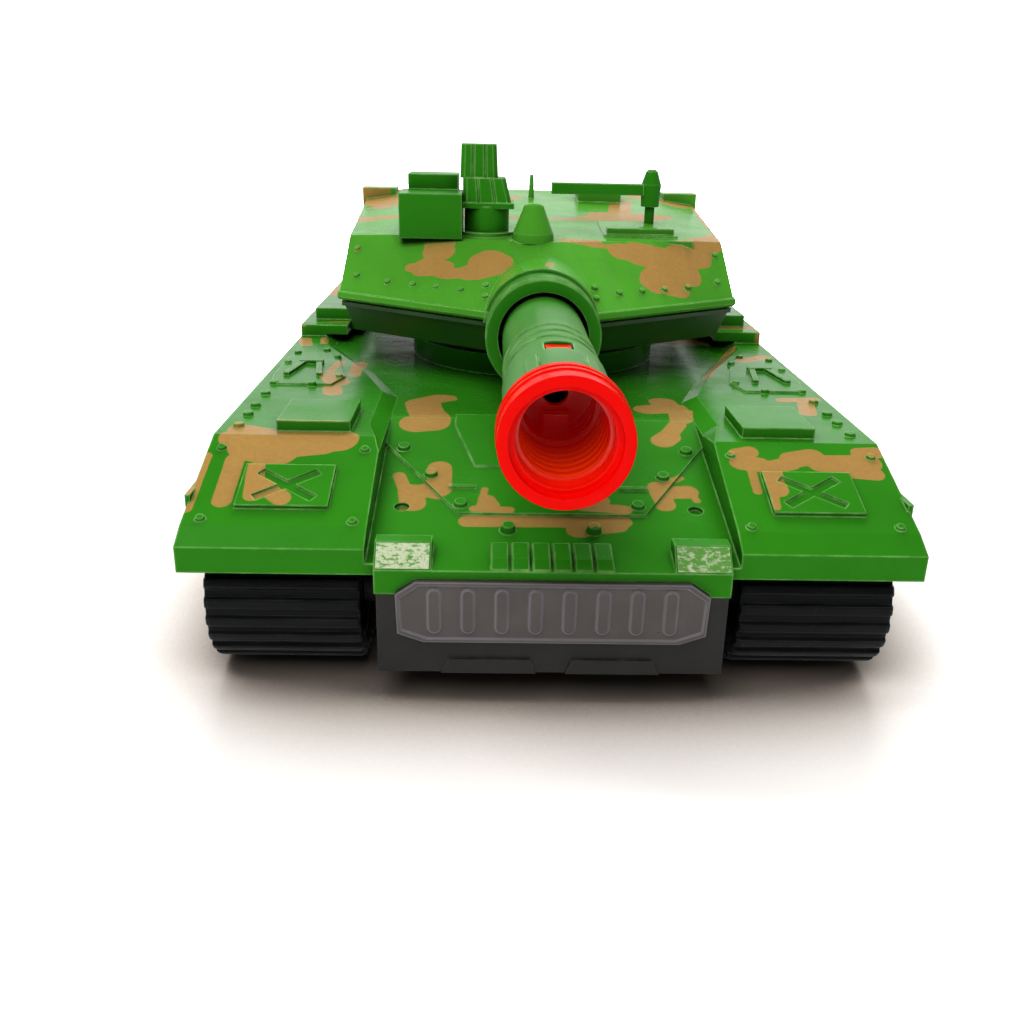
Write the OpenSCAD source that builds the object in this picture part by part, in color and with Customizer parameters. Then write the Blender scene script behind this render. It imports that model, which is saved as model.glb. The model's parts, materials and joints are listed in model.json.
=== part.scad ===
/* [Hull] */
// Overall width across the fenders
fender_w = 150; // [149:0.5:152]
// Length of the hull behind the fender lip
tail_y = 268; // [264:1:276]
// Height of the fender deck above the ground
deck_z = 46.1; // [45.8:0.1:46.6]
// Height of the central deck above the ground
well_z = 44; // [43.8:0.1:44.4]
// Skin thickness of the moulded shells
wall = 2; // [1.6:0.1:2.2]
// Ground clearance under the chassis tub
belly_z = 7.4; // [7:0.1:8]

/* [Running gear] */
// Width of a rubber track
track_w = 31.7; // [30:0.1:31.8]
// Distance from one grouser to the next
grouser_pitch = 3.6; // [3.2:0.1:4.2]
// Radius of a road wheel
wheel_r = 12.35; // [11.8:0.05:12.4]
// Spacing of the road wheels
wheel_step = 38.5; // [36:0.5:39]
// Diameter of the wheel stub axles
stub_d = 3; // [2.5:0.5:3]
// Radial clearance of a turning fit
run_gap = 0.05; // [0.03:0.01:0.1]

/* [Drive gears] */
// Module of the drive gears
drive_m = 0.5; // [0.48:0.01:0.5]
// Teeth on a motor pinion and on a small intermediate gear
small_teeth = 10; // [10:1:10]
// Teeth on a large intermediate gear and on a final gear
large_teeth = 30; // [30:1:30]

/* [Turret] */
// Height of the rim of the turret above the ground
rim_z = 65.8; // [65.4:0.1:66.2]
// Outside radius of the turret neck
neck_r = 34; // [33:0.5:34]
// Teeth on the traverse ring
ring_teeth = 72; // [72:1:72]
// Teeth on the traverse pinion
traverse_teeth = 12; // [12:1:12]

/* [Gun] */
// Height of the gun axis above the ground
gun_z = 62.3; // [62:0.1:62.6]
// Outside radius of the barrel
barrel_r = 10.3; // [10:0.1:10.4]
// Radius of the opening in the muzzle
muzzle_r = 8; // [7.6:0.1:8.2]
// Number of coils in the launcher spring
spring_coils = 8; // [5:1:10]

/* [Hidden] */
$fn = 64;
eps = 0.02;

// Hull
fender_x = fender_w / 2;
hull_x = 35.7;
glacis_x = 37.6;
skirt_x = fender_x - wall;
nose_y = -2;
nose_z = 30;
crease_y = 60.6;
glacis_rise = (well_z - nose_z) / (crease_y - nose_y);
glacis_tilt = atan(glacis_rise);
tub_top_z = 24.8;
skirt_z = 28;
lip_z = 33.5;
fold = [5.3, 36.2];
slope_end = [35, deck_z];
fender_rise = (slope_end[1] - fold[1]) / (slope_end[0] - fold[0]);
tail_slope = 6;
bay_x = glacis_x + 1.2;
roof_skin_z = well_z - wall;

// Chassis tub
tub_x = 35.3;
tub_in_x = tub_x - wall;
floor_z = belly_z + wall;
screw_y = [16, 88, 256];
screw_x = 28.5;
screw_r = 1.3;
boss_r = 3.4;

// Running gear
belt_t = 2.2;
grouser_h = 1.0;
grouser_foot = 1.4;
grouser_tip = 1.0;
belt_gap = 0.15;
end_y = [19, 247];
end_z = 18;
end_r = 13.3;
belt_r = end_r + belt_gap;
wheel_y0 = 53;
wheel_z = belt_t + grouser_h + belt_gap + wheel_r;
track_x0 = 71 - track_w;
wheel_x0 = 40.2;
wheel_x1 = 68.8;
stub_r = stub_d / 2;
cap_x1 = 70.8;

// Drive train
shaft_r = 2;
gear_step = drive_m * (small_teeth + large_teeth) / 2;
mid_y = end_y[1] - gear_step;
motor_y = mid_y - gear_step;
case_x = 9.6;
case_y1 = end_y[1] + 10.9;
cover_t = 1.5;
motor_x0 = case_x + cover_t;
pressure = 25;

// Turret ring
turret_y = 140;
ring_m = 1;
ring_tip_r = ring_m * (ring_teeth / 2 + 1);
pinion_y = turret_y - ring_m * (ring_teeth + traverse_teeth) / 2;
riser_r = neck_r + 4;
turret_floor_z = 55;
riser_top_z = 50;
ring_z0 = 36.8;
ring_z1 = 41.7;
part_z = 63.4;
rim_ledge = 0.5;
collar_y = [67, 85];
collar_r = 14.4;
collar_in_r = 11.4;
trunnion_y = 76;
trunnion_r = 1.5;
muzzle_y = -20.7;
hook_reach = 5;
// The nose is drawn near y = 0; the finished tank is moved so that the origin is under its middle.
middle_y = (tail_y + hook_reach + muzzle_y) / 2;
// Screw posts of the turret: x, y and top
turret_posts = [[30, 190, 86], [44, 142, 81]];

// ---------- shared shapes ----------
module centred() translate([0, -middle_y, 0]) children();
module xprism(pts, x0, x1)
    translate([x0, 0, 0]) rotate([90, 0, 90]) linear_extrude(x1 - x0) polygon(pts);
module xcyl(r, x0, x1, y = 0, z = 0)
    translate([x0, y, z]) rotate([0, 90, 0]) cylinder(r = r, h = x1 - x0);
module ycyl(r, y0, y1, x = 0, z = 0)
    translate([x, y0, z]) rotate([-90, 0, 0]) cylinder(r = r, h = y1 - y0);
module box(x, y, z) translate([x[0], y[0], z[0]]) cube([x[1] - x[0], y[1] - y[0], z[1] - z[0]]);
module both() { children(); mirror([1, 0, 0]) children(); }
module side(s) { if (s > 0) children(); else mirror([1, 0, 0]) children(); }
function mirror_ring(p) = concat(p, [for (i = [len(p) - 1:-1:0]) if (abs(p[i][0]) > eps) [-p[i][0],
    p[i][1]]]);
// A closed solid between two rings of the same number of points, capped round a middle point.
function middle(ring) = [0, (min([for (p = ring) p[1]]) + max([for (p = ring) p[1]])) / 2, ring[0][2]];
module ring_solid(low, high) {
    n = len(low);
    polyhedron(
        points = concat(low, high, [middle(low), middle(high)]),
        faces = [for (i = [0:n - 1]) let (j = (i + 1) % n)
            each [[i, j, 2 * n], [i, n + i, j], [j, n + i, n + j], [n + j, n + i, 2 * n + 1]]]);
}
function at_z(ring, z) = [for (p = ring) [p[0], p[1], z]];

// Involute spur gear outline, tooth centred on +X unless turned by half a tooth.
function inv_angle(rb, r) = r <= rb ? 0 : let (t = sqrt(r * r / rb / rb - 1)) (t * 180 / PI - atan(t));
module gear_outline(teeth, m, addendum = 0.9, backlash = 0.1) {
    rp = m * teeth / 2;
    rb = rp * cos(pressure);
    ra = rp + addendum * m;
    rf = rp - 1.2 * m;
    half = 90 / teeth - backlash * m / rp * 90 / PI + inv_angle(rb, rp);
    r0 = max(rb, rf);
    foot = half - inv_angle(rb, r0);
    steps = 4;
    flank = [for (i = [0:steps]) let (r = r0 + (ra - r0) * i / steps) [r, half - inv_angle(rb, r)]];
    root = rf < rb ? [[rf, foot]] : [];
    tooth = concat([for (p = root) [p[0], -p[1]]], [for (p = flank) [p[0], -p[1]]],
        [for (i = [steps:-1:0]) flank[i]], root);
    polygon([for (k = [0:teeth - 1], q = tooth) let (a = k * 360 / teeth + q[1])
        [q[0] * cos(a), q[0] * sin(a)]]);
}
module gear(teeth, m, h, turn = 0) linear_extrude(h) rotate(turn) gear_outline(teeth, m);

// ---------- hull ----------
well_low = [[0, 30], [37.6, 30], [37.6, 47], [37.6, 76], [47, 103], [63.5, 139], [63.5, 176], [47,
    212], [37.6, 226],
    [0, 226]];
well_high = [[0, 30], [37.7, 30], [42.5, 50], [42.5, 75], [51.5, 101.5], [67.5, 136], [67.5, 179],
    [51.5, 213.5], [42.5, 230], [0, 230]];
module glacis_frame() translate([0, nose_y, nose_z]) rotate([glacis_tilt, 0, 0]) children();
module fender_frame() translate([0, fold[0], fold[1]]) rotate([atan(fender_rise), 0, 0]) children();
plate_outline = [[25.9, 14.8], [31.1, 16.7], [31.4, 25.2], [27.4, 28]];
module plate_shape(gap = 0)
    let (p = [for (q = plate_outline) [q[0] + gap, q[1] + (q[1] < 20 ? -gap : gap)]])
    polygon(concat(p, [for (i = [3:-1:0]) [-p[i][0], p[i][1]]]));
module plate_recess() translate([0, nose_y + 1, 0]) rotate([90, 0, 0]) linear_extrude(3) plate_shape(0.1);

module hull_outer() {
    xprism([[nose_y, tub_top_z], [nose_y, nose_z], [0.1, nose_z + 2.1 * glacis_rise],
        [crease_y, well_z], [crease_y, deck_z], [tail_y, deck_z], [tail_y, tub_top_z]], -hull_x, hull_x);
    xprism([[0, skirt_z], [0, nose_z + 2 * glacis_rise], [crease_y, well_z], [crease_y, deck_z],
        [tail_y, deck_z], [tail_y, skirt_z]], -glacis_x, glacis_x);
    both() {
        xprism([[0, skirt_z], [0, lip_z], fold, slope_end, [tail_y - tail_slope, deck_z],
            [tail_y, deck_z - tail_slope], [tail_y, skirt_z]], glacis_x - eps, fender_x);
        // stowage boxes beside the turret
        box([60, 75], [145, 232], [deck_z - 1, 49.7]);
        box([58, 71.7], [155, 226], [deck_z - 1, 53.4]);
        // hatch pads
        box([44.8, 61.5], [38, 57], [deck_z - 1, 48.6]);
    }
}
module hull_cavity() {
    // room for the turret ring gear
    translate([0, turret_y, ring_z0 - 0.6]) cylinder(r = ring_tip_r + 0.6, h = roof_skin_z - ring_z0 + 0.6);
    // centre
    xprism([[nose_y + 2.5, tub_top_z - 1], [nose_y + 2.5, nose_z - 1.6],
        [crease_y + 1, roof_skin_z], [232, roof_skin_z], [232, deck_z - wall], [tail_y - wall,
            deck_z - wall],
        [tail_y - wall, tub_top_z - 1]], -hull_x + wall, hull_x - wall);
    // track bays
    both() {
        xprism([[2, skirt_z - 1], [2, lip_z - 1.6], [fold[0] + 0.8, fold[1] - 2],
            [slope_end[0] + 0.6, roof_skin_z],
            [tail_y - tail_slope - 1, roof_skin_z], [tail_y - wall, roof_skin_z - tail_slope + 1],
            [tail_y - wall, skirt_z - 1]], bay_x, skirt_x);
    }
}
module rivet(r = 0.9, h = 0.5) cylinder(r1 = r, r2 = r * 0.7, h = h + 0.3, $fn = 16);
module hatch_relief() {
    // octagonal cover with an A-shaped handle and bolts around it
    translate([64.5, 99, deck_z - 0.2]) {
        linear_extrude(0.75) polygon([[-9, -19], [7, -19], [8.2, -10], [8.2, 14], [3, 20], [-3, 20],
            [-7.5, 8],
            [-11.5, -10]]);
        for (s = [-1, 1]) translate([s * 3.4, -4, 0]) rotate([0, 0, s * 9]) box([-0.8, 0.8], [-7, 9],
            [0, 1.7]);
        box([-3.4, 3.4], [3.2, 4.8], [0, 1.9]);
    }
}
module deck_bolts() {
    for (y = [41, 50.5, 58.5, 70, 81]) translate([70.8, y, deck_z - 0.3]) rivet(1.5, 0.9);
    for (p = [[54.5, 88], [58.5, 112], [69.5, 92], [71.5, 104], [71, 117], [60.5, 79.5], [63, 121]])
        translate([p[0], p[1], deck_z - 0.3]) rivet(1.3, 1.2);
}
module fender_panel() fender_frame() {
    // square pad with a recessed cross, corner bolts
    difference() {
        box([46, 65.2], [5.2, 19.2], [-0.5, 1]);
        translate([55.5, 12.2, 0.5]) for (a = [-36, 36]) rotate(a) box([-7.6, 7.6], [-1.1, 1.1], [0, 2]);
    }
    for (p = [[40.6, 1.4], [71.3, 1.8], [40.6, 26], [72, 26]]) translate([p[0], p[1],
        -0.3]) rivet(1.2, 0.7);
}
module glacis_relief() glacis_frame() {
    // raised driver's plate, bumps, louvres
    linear_extrude(0.55) polygon([[-19.6, 19.9], [20.6, 19.9], [37.6, 49], [37.6, 62], [-37.6, 62],
        [-37.6, 49]]);
    translate([0, 0, 0.5]) linear_extrude(0.5) polygon([[-16.4, 38.6], [16.4, 38.6], [21.6, 57.5],
        [21.6, 63],
        [-21.6, 63], [-21.6, 57.5]]);
    both() {
        box([15.8, 22], [29.4, 30.4], [0, 1.1]);
        for (p = [[26.2, 35], [19.2, 22.9], [33.2, 46.5], [9, 14.2]]) translate([p[0], p[1],
            -0.2]) rivet(1.8, 1.5);
    }
    translate([-12.4, 0.3, -0.2]) for (i = [0:5]) translate([i * 4.2, 0, 0])
        rotate([90, 0, 90]) linear_extrude(3.4) polygon([[0, 0], [0, 0.5], [2.8, 1.2], [9.3, 0.5],
            [9.3, 0]]);
}
module boss(h, y, z0, x = screw_x) translate([x, y, z0]) cylinder(r = boss_r, h = h);
function screw_seat(y) = y < crease_y ? nose_z - 1 + (y - 3) * glacis_rise
    : (y > well_high[9][1] ? deck_z : well_z) - wall + 1;

module hull_upper() color("forestgreen") {
    difference() {
        union() {
            difference() {
                hull_outer();
                ring_solid(at_z(mirror_ring(well_low), well_z),
                    at_z(mirror_ring(well_high), deck_z + 0.6));
            }
            hatch_side();
            glacis_relief();
            engine_deck();
            skirt_panels();
            translate([0, turret_y, well_z - 0.5]) cylinder(r = riser_r, h = riser_top_z - well_z + 0.5);
            // headlamp pads
            both() xprism([[nose_y, nose_z - 1], [nose_y, nose_z], [2.4, 34.3], [6, 34.3], [6,
                nose_z]], 24.3, 35.7);
        }
        hull_cavity();
        translate([0, turret_y, well_z - 3]) cylinder(r = neck_r + 0.08, h = 20);
        plate_recess();
        both() glacis_frame() translate([31.8, 22.7, -1]) cylinder(r = 1.6, h = 3);
    }
    // screw bosses
    both() for (y = screw_y) difference() {
        boss(screw_seat(y) - tub_top_z, y, tub_top_z);
        translate([screw_x, y, tub_top_z - 1]) cylinder(r = screw_r, h = 8);
    }
}
module hatch_side() both() {
    hatch_relief();
    deck_bolts();
    fender_panel();
}
module engine_deck() {
    // two round fan grilles, a louvred hatch and two exhaust boxes on the rear wall
    for (s = [-1, 1]) translate([s * 19, 246, deck_z - 0.2]) {
        difference() { cylinder(r = 12.5, h = 1.2); translate([0, 0, 0.4]) cylinder(r = 11, h = 2); }
        for (r = [3, 6.5, 9.5]) difference() { cylinder(r = r + 0.5, h = 1); cylinder(r = r - 0.5,
            h = 2); }
        for (a = [0, 60, 120]) rotate(a) box([-11.4, 11.4], [-0.5, 0.5], [0, 1]);
    }
    both() {
        for (i = [0:5]) box([44, 66], [236 + i * 4, 238 + i * 4], [deck_z - 0.2, deck_z + 0.8]);
        box([14, 33], [tail_y - 0.5, tail_y + 2.2], [30, 41]);
        for (i = [0:3]) box([15.5, 31.5], [tail_y + 2, tail_y + 2.8], [31.3 + i * 2.5, 32.5 + i * 2.5]);
        box([50, 66], [tail_y - 0.5, tail_y + 1.4], [30.5, 38]);
    }
}
module skirt_panels() both() {
    for (i = [0:6]) box([fender_x - 0.5, fender_x + 0.6], [12 + i * 36, 44 + i * 36 - (i == 6 ? 8 : 0)],
        [skirt_z + 0.8, 40]);
    for (i = [0:13]) translate([fender_x + 0.3, 16.5 + i * 17.6 + 0.5, 37.5]) rotate([0, 90,
        0]) rivet(0.9, 0.5);
}

// ---------- chassis tub ----------
wheel_ys = [for (i = [0:4]) wheel_y0 + i * wheel_step];
battery_y = [108, 172];
battery_x = 19;
door_gap = 0.2;
switch_at = [22, 196];
module chassis_tub() color("dimgray") {
    difference() {
        union() {
            xprism([[nose_y, belly_z], [nose_y, tub_top_z], [tail_y, tub_top_z], [tail_y, 15],
                [tail_y - 9, belly_z]], -tub_x, tub_x);
            both() {
                for (y = wheel_ys) xcyl(4.6, tub_x - 1, wheel_x0 - 0.3, y, wheel_z);
                xcyl(4.6, tub_x - 1, wheel_x0 - 0.3, end_y[0], end_z);
                // locating lip
                box([tub_in_x - 1.4, tub_in_x + 0.1], [30, 240], [tub_top_z - 3, tub_top_z + 2.5]);
            }
            // front relief panels
            both() translate([0, nose_y + 0.3, 0]) rotate([90, 0, 0]) linear_extrude(0.9)
                polygon([[3, belly_z], [4.2, 10.6], [20.8, 10.6], [22.4, belly_z]]);
        }
        xprism([[nose_y + 2.5, floor_z], [nose_y + 2.5, tub_top_z + 1], [tail_y - wall, tub_top_z + 1],
            [tail_y - wall, 16], [tail_y - 10, floor_z]], -tub_in_x, tub_in_x);
        both() {
            for (y = wheel_ys) xcyl(stub_r, 20, 60, y, wheel_z);
            xcyl(stub_r, 20, 60, end_y[0], end_z);
            xcyl(shaft_r + 1.5, 20, 60, end_y[1], end_z);
        }
        plate_recess();
        // battery opening with a ledge for the door
        box([-battery_x, battery_x], battery_y, [belly_z - 1, floor_z + 1]);
        box([-battery_x - 2, battery_x + 2], [battery_y[0] - 2, battery_y[1] + 2], [belly_z - 1,
            belly_z + 1.2]);
        // switch slot, charging socket hole, screw holes
        box([switch_at[0] - 2.1, switch_at[0] + 2.1], [switch_at[1] - 4.2, switch_at[1] + 4.2],
            [belly_z - 1, floor_z + 1]);
        translate([-switch_at[0], switch_at[1], belly_z - 1]) cylinder(r = 3.1, h = 5);
        both() for (y = screw_y) translate([screw_x, y, belly_z - 1]) {
            cylinder(r = screw_r + 0.2, h = 9);
            cylinder(r = 2.8, h = 2.4);
        }
    }
    // battery compartment walls
    difference() {
        box([-battery_x - 1.8, battery_x + 1.8], [battery_y[0] - 1.8, battery_y[1] + 1.8],
            [floor_z - 0.1, 29]);
        box([-battery_x, battery_x], battery_y, [floor_z - 1, 30]);
        both() box([5.5, 9.7], [battery_y[0] - 3, battery_y[0] + 1], [24, 30]);
    }
    // posts
    both() for (y = screw_y) difference() {
        boss(tub_top_z - 0.1 - floor_z + 1, y, floor_z - 1);
        translate([screw_x, y, belly_z - 1]) { cylinder(r = screw_r + 0.2, h = 30); cylinder(r = 2.8,
            h = 2.4); }
    }
    both() for (y = [34, 78]) difference() {
        translate([20, y, floor_z - 0.1]) cylinder(r = 2.4, h = 3.7);
        translate([20, y, floor_z + 0.5]) cylinder(r = 0.9, h = 4);
    }
    // tow hooks at the rear
    both() difference() {
        box([22, 26], [tail_y - 1, tail_y + hook_reach], [16, 22]);
        xcyl(1.4, 21, 27, tail_y + 2.4, 19);
    }
}
module front_plate() color("slategray") {
    translate([0, nose_y + 1, 0]) rotate([90, 0, 0]) linear_extrude(1.9) plate_shape();
    translate([0, nose_y - 0.85, 0]) rotate([90, 0, 0]) for (i = [0:7]) translate([(i - 3.5) * 6.76,
        0, 0]) {
        linear_extrude(0.55) translate([-1.3, 18.2]) square([2.6, 7]);
        translate([0, 18.2, 0]) cylinder(r = 1.3, h = 0.55);
        translate([0, 25.2, 0]) cylinder(r = 1.3, h = 0.55);
    }
    translate([0, nose_y - 0.85, 0]) rotate([90, 0, 0]) linear_extrude(0.4) difference() {
        plate_shape();
        plate_shape(-0.8);
    }
}
module headlamp_foils() color("white")
    both() translate([0, nose_y, nose_z]) rotate([atan(4.3 / 4.4), 0, 0])
        box([24.7, 35.3], [0.3, 5.8], [0, 0.25]);

// ---------- running gear ----------
// The belt runs from an end wheel down a short ramp on to the road wheels.
ramp_y = [wheel_ys[0] - 6, wheel_ys[4] + 6];
ramp_d = ramp_y[0] - end_y[0];
belt_z0 = wheel_z - wheel_r - belt_gap;
drop = end_z - belt_z0;
ramp_a = asin(belt_r / sqrt(ramp_d * ramp_d + drop * drop)) - atan(drop / ramp_d);
ramp_d2 = end_y[1] - ramp_y[1];
ramp_a2 = asin(belt_r / sqrt(ramp_d2 * ramp_d2 + drop * drop)) - atan(drop / ramp_d2);
// angles are measured at the end wheels, 90 at the top
function arc_pt(c, r, a) = [c + r * cos(a), end_z + r * sin(a)];
arc_n = 12;
front_arc_pts = [for (i = [0:arc_n]) [end_y[0], 90 + i * (180 + ramp_a) / arc_n]];
rear_arc_pts = [for (i = [0:arc_n]) [end_y[1], -90 - ramp_a2 + i * (180 + ramp_a2) / arc_n]];
// Inner line of the belt as point and outward normal, anticlockwise seen from +X
inner_line = concat(
    [for (q = front_arc_pts) [arc_pt(q[0], belt_r, q[1]), [cos(q[1]), sin(q[1])]]],
    [[[ramp_y[0], belt_z0], [0, -1]], [[ramp_y[1], belt_z0], [0, -1]]],
    [for (q = rear_arc_pts) [arc_pt(q[0], belt_r, q[1]), [cos(q[1]), sin(q[1])]]]);
line_n = len(inner_line);
function seg_len(i) = norm(inner_line[(i + 1) % line_n][0] - inner_line[i][0]);
function along(i, t) = let (a = inner_line[i], b = inner_line[(i + 1) % line_n]) a[0] + (b[0] - a[0]) * t;
function out_of(i) = let (d = inner_line[(i + 1) % line_n][0] - inner_line[i][0]) [d[1], -d[0]] / norm(d);
module belt_outline() difference() {
    polygon([for (i = [0:line_n - 1]) let (n = max(1, round(seg_len(i) / grouser_pitch)))
        for (k = [0:n - 1]) let (p = along(i, (k + 0.5) / n), o = out_of(i), d = [-o[1], o[0]])
            each [p + o * belt_t - d * grouser_foot, p + o * (belt_t + grouser_h) - d * grouser_tip,
                p + o * (belt_t + grouser_h) + d * grouser_tip, p + o * belt_t + d * grouser_foot]]);
    polygon([for (q = inner_line) q[0]]);
}
module track() color("black") translate([track_x0, 0, 0]) rotate([90, 0, 90]) linear_extrude(track_w)
    belt_outline();
module wheel_body(r) {
    // turned profile with a guide groove, hub and dished face
    difference() {
        xcyl(r, wheel_x0, wheel_x1);
        difference() { xcyl(r + 1, 53, 56.5); xcyl(r - 2.6, 52, 57.5); }
        difference() { xcyl(r - 1.9, wheel_x1 - 2.6, wheel_x1 + 1); xcyl(4.4, wheel_x1 - 3,
            wheel_x1 + 2); }
        difference() { xcyl(r - 1.9, wheel_x0 - 1, wheel_x0 + 4); xcyl(4.4, wheel_x0 - 2, wheel_x0 + 5); }
    }
}
module road_wheel(n) color("dimgray") translate([0, wheel_ys[n - 1], wheel_z]) difference() {
    union() {
        wheel_body(wheel_r);
        for (a = [0:60:300]) rotate([a, 0, 0]) xcyl(1.2, wheel_x1 - 3, wheel_x1 - 1.4, 7.4, 0);
    }
    xcyl(stub_r + run_gap, wheel_x0 - 1, wheel_x1 + 1);
}
module idler() color("dimgray") translate([0, end_y[0], end_z]) difference() {
    wheel_body(end_r - 0.1);
    for (a = [0:72:288]) rotate([a, 0, 0]) xcyl(1.9, wheel_x1 - 6, wheel_x1, 7.8, 0);
    xcyl(stub_r + run_gap, wheel_x0 - 1, wheel_x1 + 1);
}
module sprocket() color("dimgray") translate([0, end_y[1], end_z]) difference() {
    union() {
        difference() {
            wheel_body(end_r - 0.1);
            // tooth spaces round both rims
            for (a = [0:24:336]) rotate([a, 0, 0]) for (x = [[wheel_x0 - 1, 48], [61.5, wheel_x1 + 1]])
                xcyl(1.1, x[0], x[1], end_r + 0.3, 0);
        }
        for (a = [0:45:315]) rotate([a, 0, 0]) xcyl(1.1, wheel_x1 - 3, wheel_x1 - 1.4, 7.6, 0);
    }
    xcyl(shaft_r, wheel_x0 - 1, wheel_x1 + 1);
}
module stub_axles() color("silver") both() {
    for (y = wheel_ys) xcyl(stub_r, 34, 70.6, y, wheel_z);
    xcyl(stub_r, 34, 70.6, end_y[0], end_z);
}
module axle_cap(y, z) difference() {
    xcyl(3.2, wheel_x1 + 0.3, cap_x1, y, z);
    xcyl(stub_r, wheel_x1 - 1, 70.6, y, z);
}
module axle_caps() color("gray") both() {
    for (y = wheel_ys) axle_cap(y, wheel_z);
    axle_cap(end_y[0], end_z);
}

// ---------- drive train ----------
gear_z = end_z;
module at_gear(y, x) translate([x, y, gear_z]) rotate([0, 90, 0]) children();
module drive_shaft() color("silver") difference() {
    xcyl(shaft_r, 5.3, 70.4, end_y[1], end_z);
    xcyl(0.6, 69, 71, end_y[1], end_z);
}
// plane of the first pair and plane of the second pair
plane_a = [2.2, 5];
plane_b = [5.4, 9];
module final_gear() color("ivory") difference() {
    at_gear(end_y[1], plane_b[0]) gear(large_teeth, drive_m, plane_b[1] - plane_b[0] - 0.2);
    xcyl(shaft_r, 0, 12, end_y[1], end_z);
}
module intermediate_gear() color("ivory") difference() {
    union() {
        at_gear(mid_y, plane_a[0]) gear(large_teeth, drive_m, plane_a[1] - plane_a[0], 180 / large_teeth);
        at_gear(mid_y, plane_a[1] - eps) gear(small_teeth, drive_m, plane_b[1] - plane_a[1],
            180 / small_teeth);
    }
    xcyl(1 + run_gap, 0, 12, mid_y, end_z);
}
module motor_pinion() color("gold") difference() {
    at_gear(motor_y, plane_a[0]) gear(small_teeth, drive_m, 3.4);
    xcyl(0.75 + run_gap, 0, 12, motor_y, end_z);
}
module drive_motor() color("silver") {
    difference() {
        intersection() {
            xcyl(10, motor_x0, motor_x0 + 19.5, motor_y, end_z);
            box([0, 40], [motor_y - 12, motor_y + 12], [end_z - 7.6, end_z + 7.6]);
        }
        xcyl(6, motor_x0 + 18.5, 40, motor_y, end_z);
    }
    xcyl(3, motor_x0 - 1.4, motor_x0 + 1, motor_y, end_z);
    xcyl(5, motor_x0 + 18, motor_x0 + 20.6, motor_y, end_z);
    // the end cap is a plastic plug with two solder tags
    for (s = [-1, 1]) box([motor_x0 + 19, motor_x0 + 21.4], [motor_y + s * 8 - 0.3,
        motor_y + s * 8 + 0.3],
        [end_z - 1, end_z + 1.2]);
    xcyl(0.75, 2.6, motor_x0, motor_y, end_z);
}
module gearbox_case() color("gray") difference() {
    box([-case_x, case_x], [motor_y - 8, case_y1], [floor_z, 28]);
    both() box([1.2, case_x + 1], [motor_y - 6.5, end_y[1] + 10], [floor_z - 1, 26.6]);
    xcyl(1, -12, 12, mid_y, end_z);
}
module gearbox_covers() color("gray") both() difference() {
    box([case_x, motor_x0], [motor_y - 8, case_y1], [floor_z, 28]);
    xcyl(3.05, 0, 20, motor_y, end_z);
    xcyl(1, 0, 20, mid_y, end_z);
    xcyl(shaft_r + run_gap, 0, 20, end_y[1], end_z);
}
module gear_spindles() color("silver") xcyl(1, -motor_x0, motor_x0, mid_y, end_z);
module shaft_bushes() color("goldenrod") both() difference() {
    union() { xcyl(shaft_r + 1.5, tub_in_x - 1, tub_x + 1.5, end_y[1], end_z);
        xcyl(5, tub_x, tub_x + 1.5, end_y[1], end_z); }
    xcyl(shaft_r + run_gap, 20, 60, end_y[1], end_z);
}

// ---------- power and electronics ----------
module battery_pack() color("royalblue") {
    for (i = [0:3]) {
        ycyl(7.4, battery_y[0] + 1, battery_y[0] + 31, (i % 2 - 0.5) * 15.2 , 17.1);
        ycyl(7.4, battery_y[0] + 31, battery_y[0] + 62, (i % 2 - 0.5) * 15.2, 17.1);
    }
    box([-6, 6], [battery_y[0] + 1.4, battery_y[0] + 62], [10.2, 12.5]);
}
module battery_door() color("dimgray") difference() {
    union() {
        box([-battery_x - 2 + door_gap, battery_x + 2 - door_gap],
            [battery_y[0] - 2 + door_gap, battery_y[1] + 2 - door_gap], [belly_z, belly_z + 1.2]);
        box([-battery_x + door_gap, battery_x - door_gap],
            [battery_y[0] + door_gap, battery_y[1] - door_gap], [belly_z, floor_z + 0.1]);
    }
    for (i = [0:5]) box([-12, 12], [118 + i * 4, 119.4 + i * 4], [belly_z - 1, belly_z + 0.5]);
}
board_z = floor_z + 3.6;
module receiver_board() color("darkgreen") {
    difference() {
        box([-24, 24], [30, 82], [board_z, board_z + 1.6]);
        both() for (y = [34, 78]) translate([20, y, board_z - 1]) cylinder(r = 1, h = 4);
    }
    box([-9, 3], [46, 58], [board_z + 1.6, board_z + 3.4]);
    box([9, 17], [40, 50], [board_z + 1.6, board_z + 3.2]);
    for (p = [[-16, 44], [-16, 54], [14, 62]]) translate([p[0], p[1], board_z + 1.6]) cylinder(r = 3,
        h = 8);
    box([-12, 12], [70, 77], [board_z + 1.6, board_z + 7.6]);
}
module power_switch() color("gray") translate([switch_at[0], switch_at[1], floor_z]) difference() {
    box([-3.6, 3.6], [-6.5, 6.5], [0, 5.5]);
    box([-2.1, 2.1], [-4.2, 4.2], [-1, 3.4]);
}
module switch_slider() color("black") translate([switch_at[0], switch_at[1] - 2, belly_z]) {
    box([-1.9, 1.9], [-1.6, 1.6], [0.3, 5.2]);
    for (i = [-1:1]) box([-1.9, 1.9], [i - 0.25, i + 0.25], [0, 0.6]);
}
module charge_socket() color("black") translate([-switch_at[0], switch_at[1], belly_z]) difference() {
    union() { translate([0, 0, 0.3]) cylinder(r = 3, h = 2.5);
        box([-4.5, 4.5], [-4.5, 4.5], [wall, 11]); }
    translate([0, 0, -1]) cylinder(r = 2, h = 9);
    box([-5, -4.4], [-5, 5], [1, 4]);
}
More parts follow.
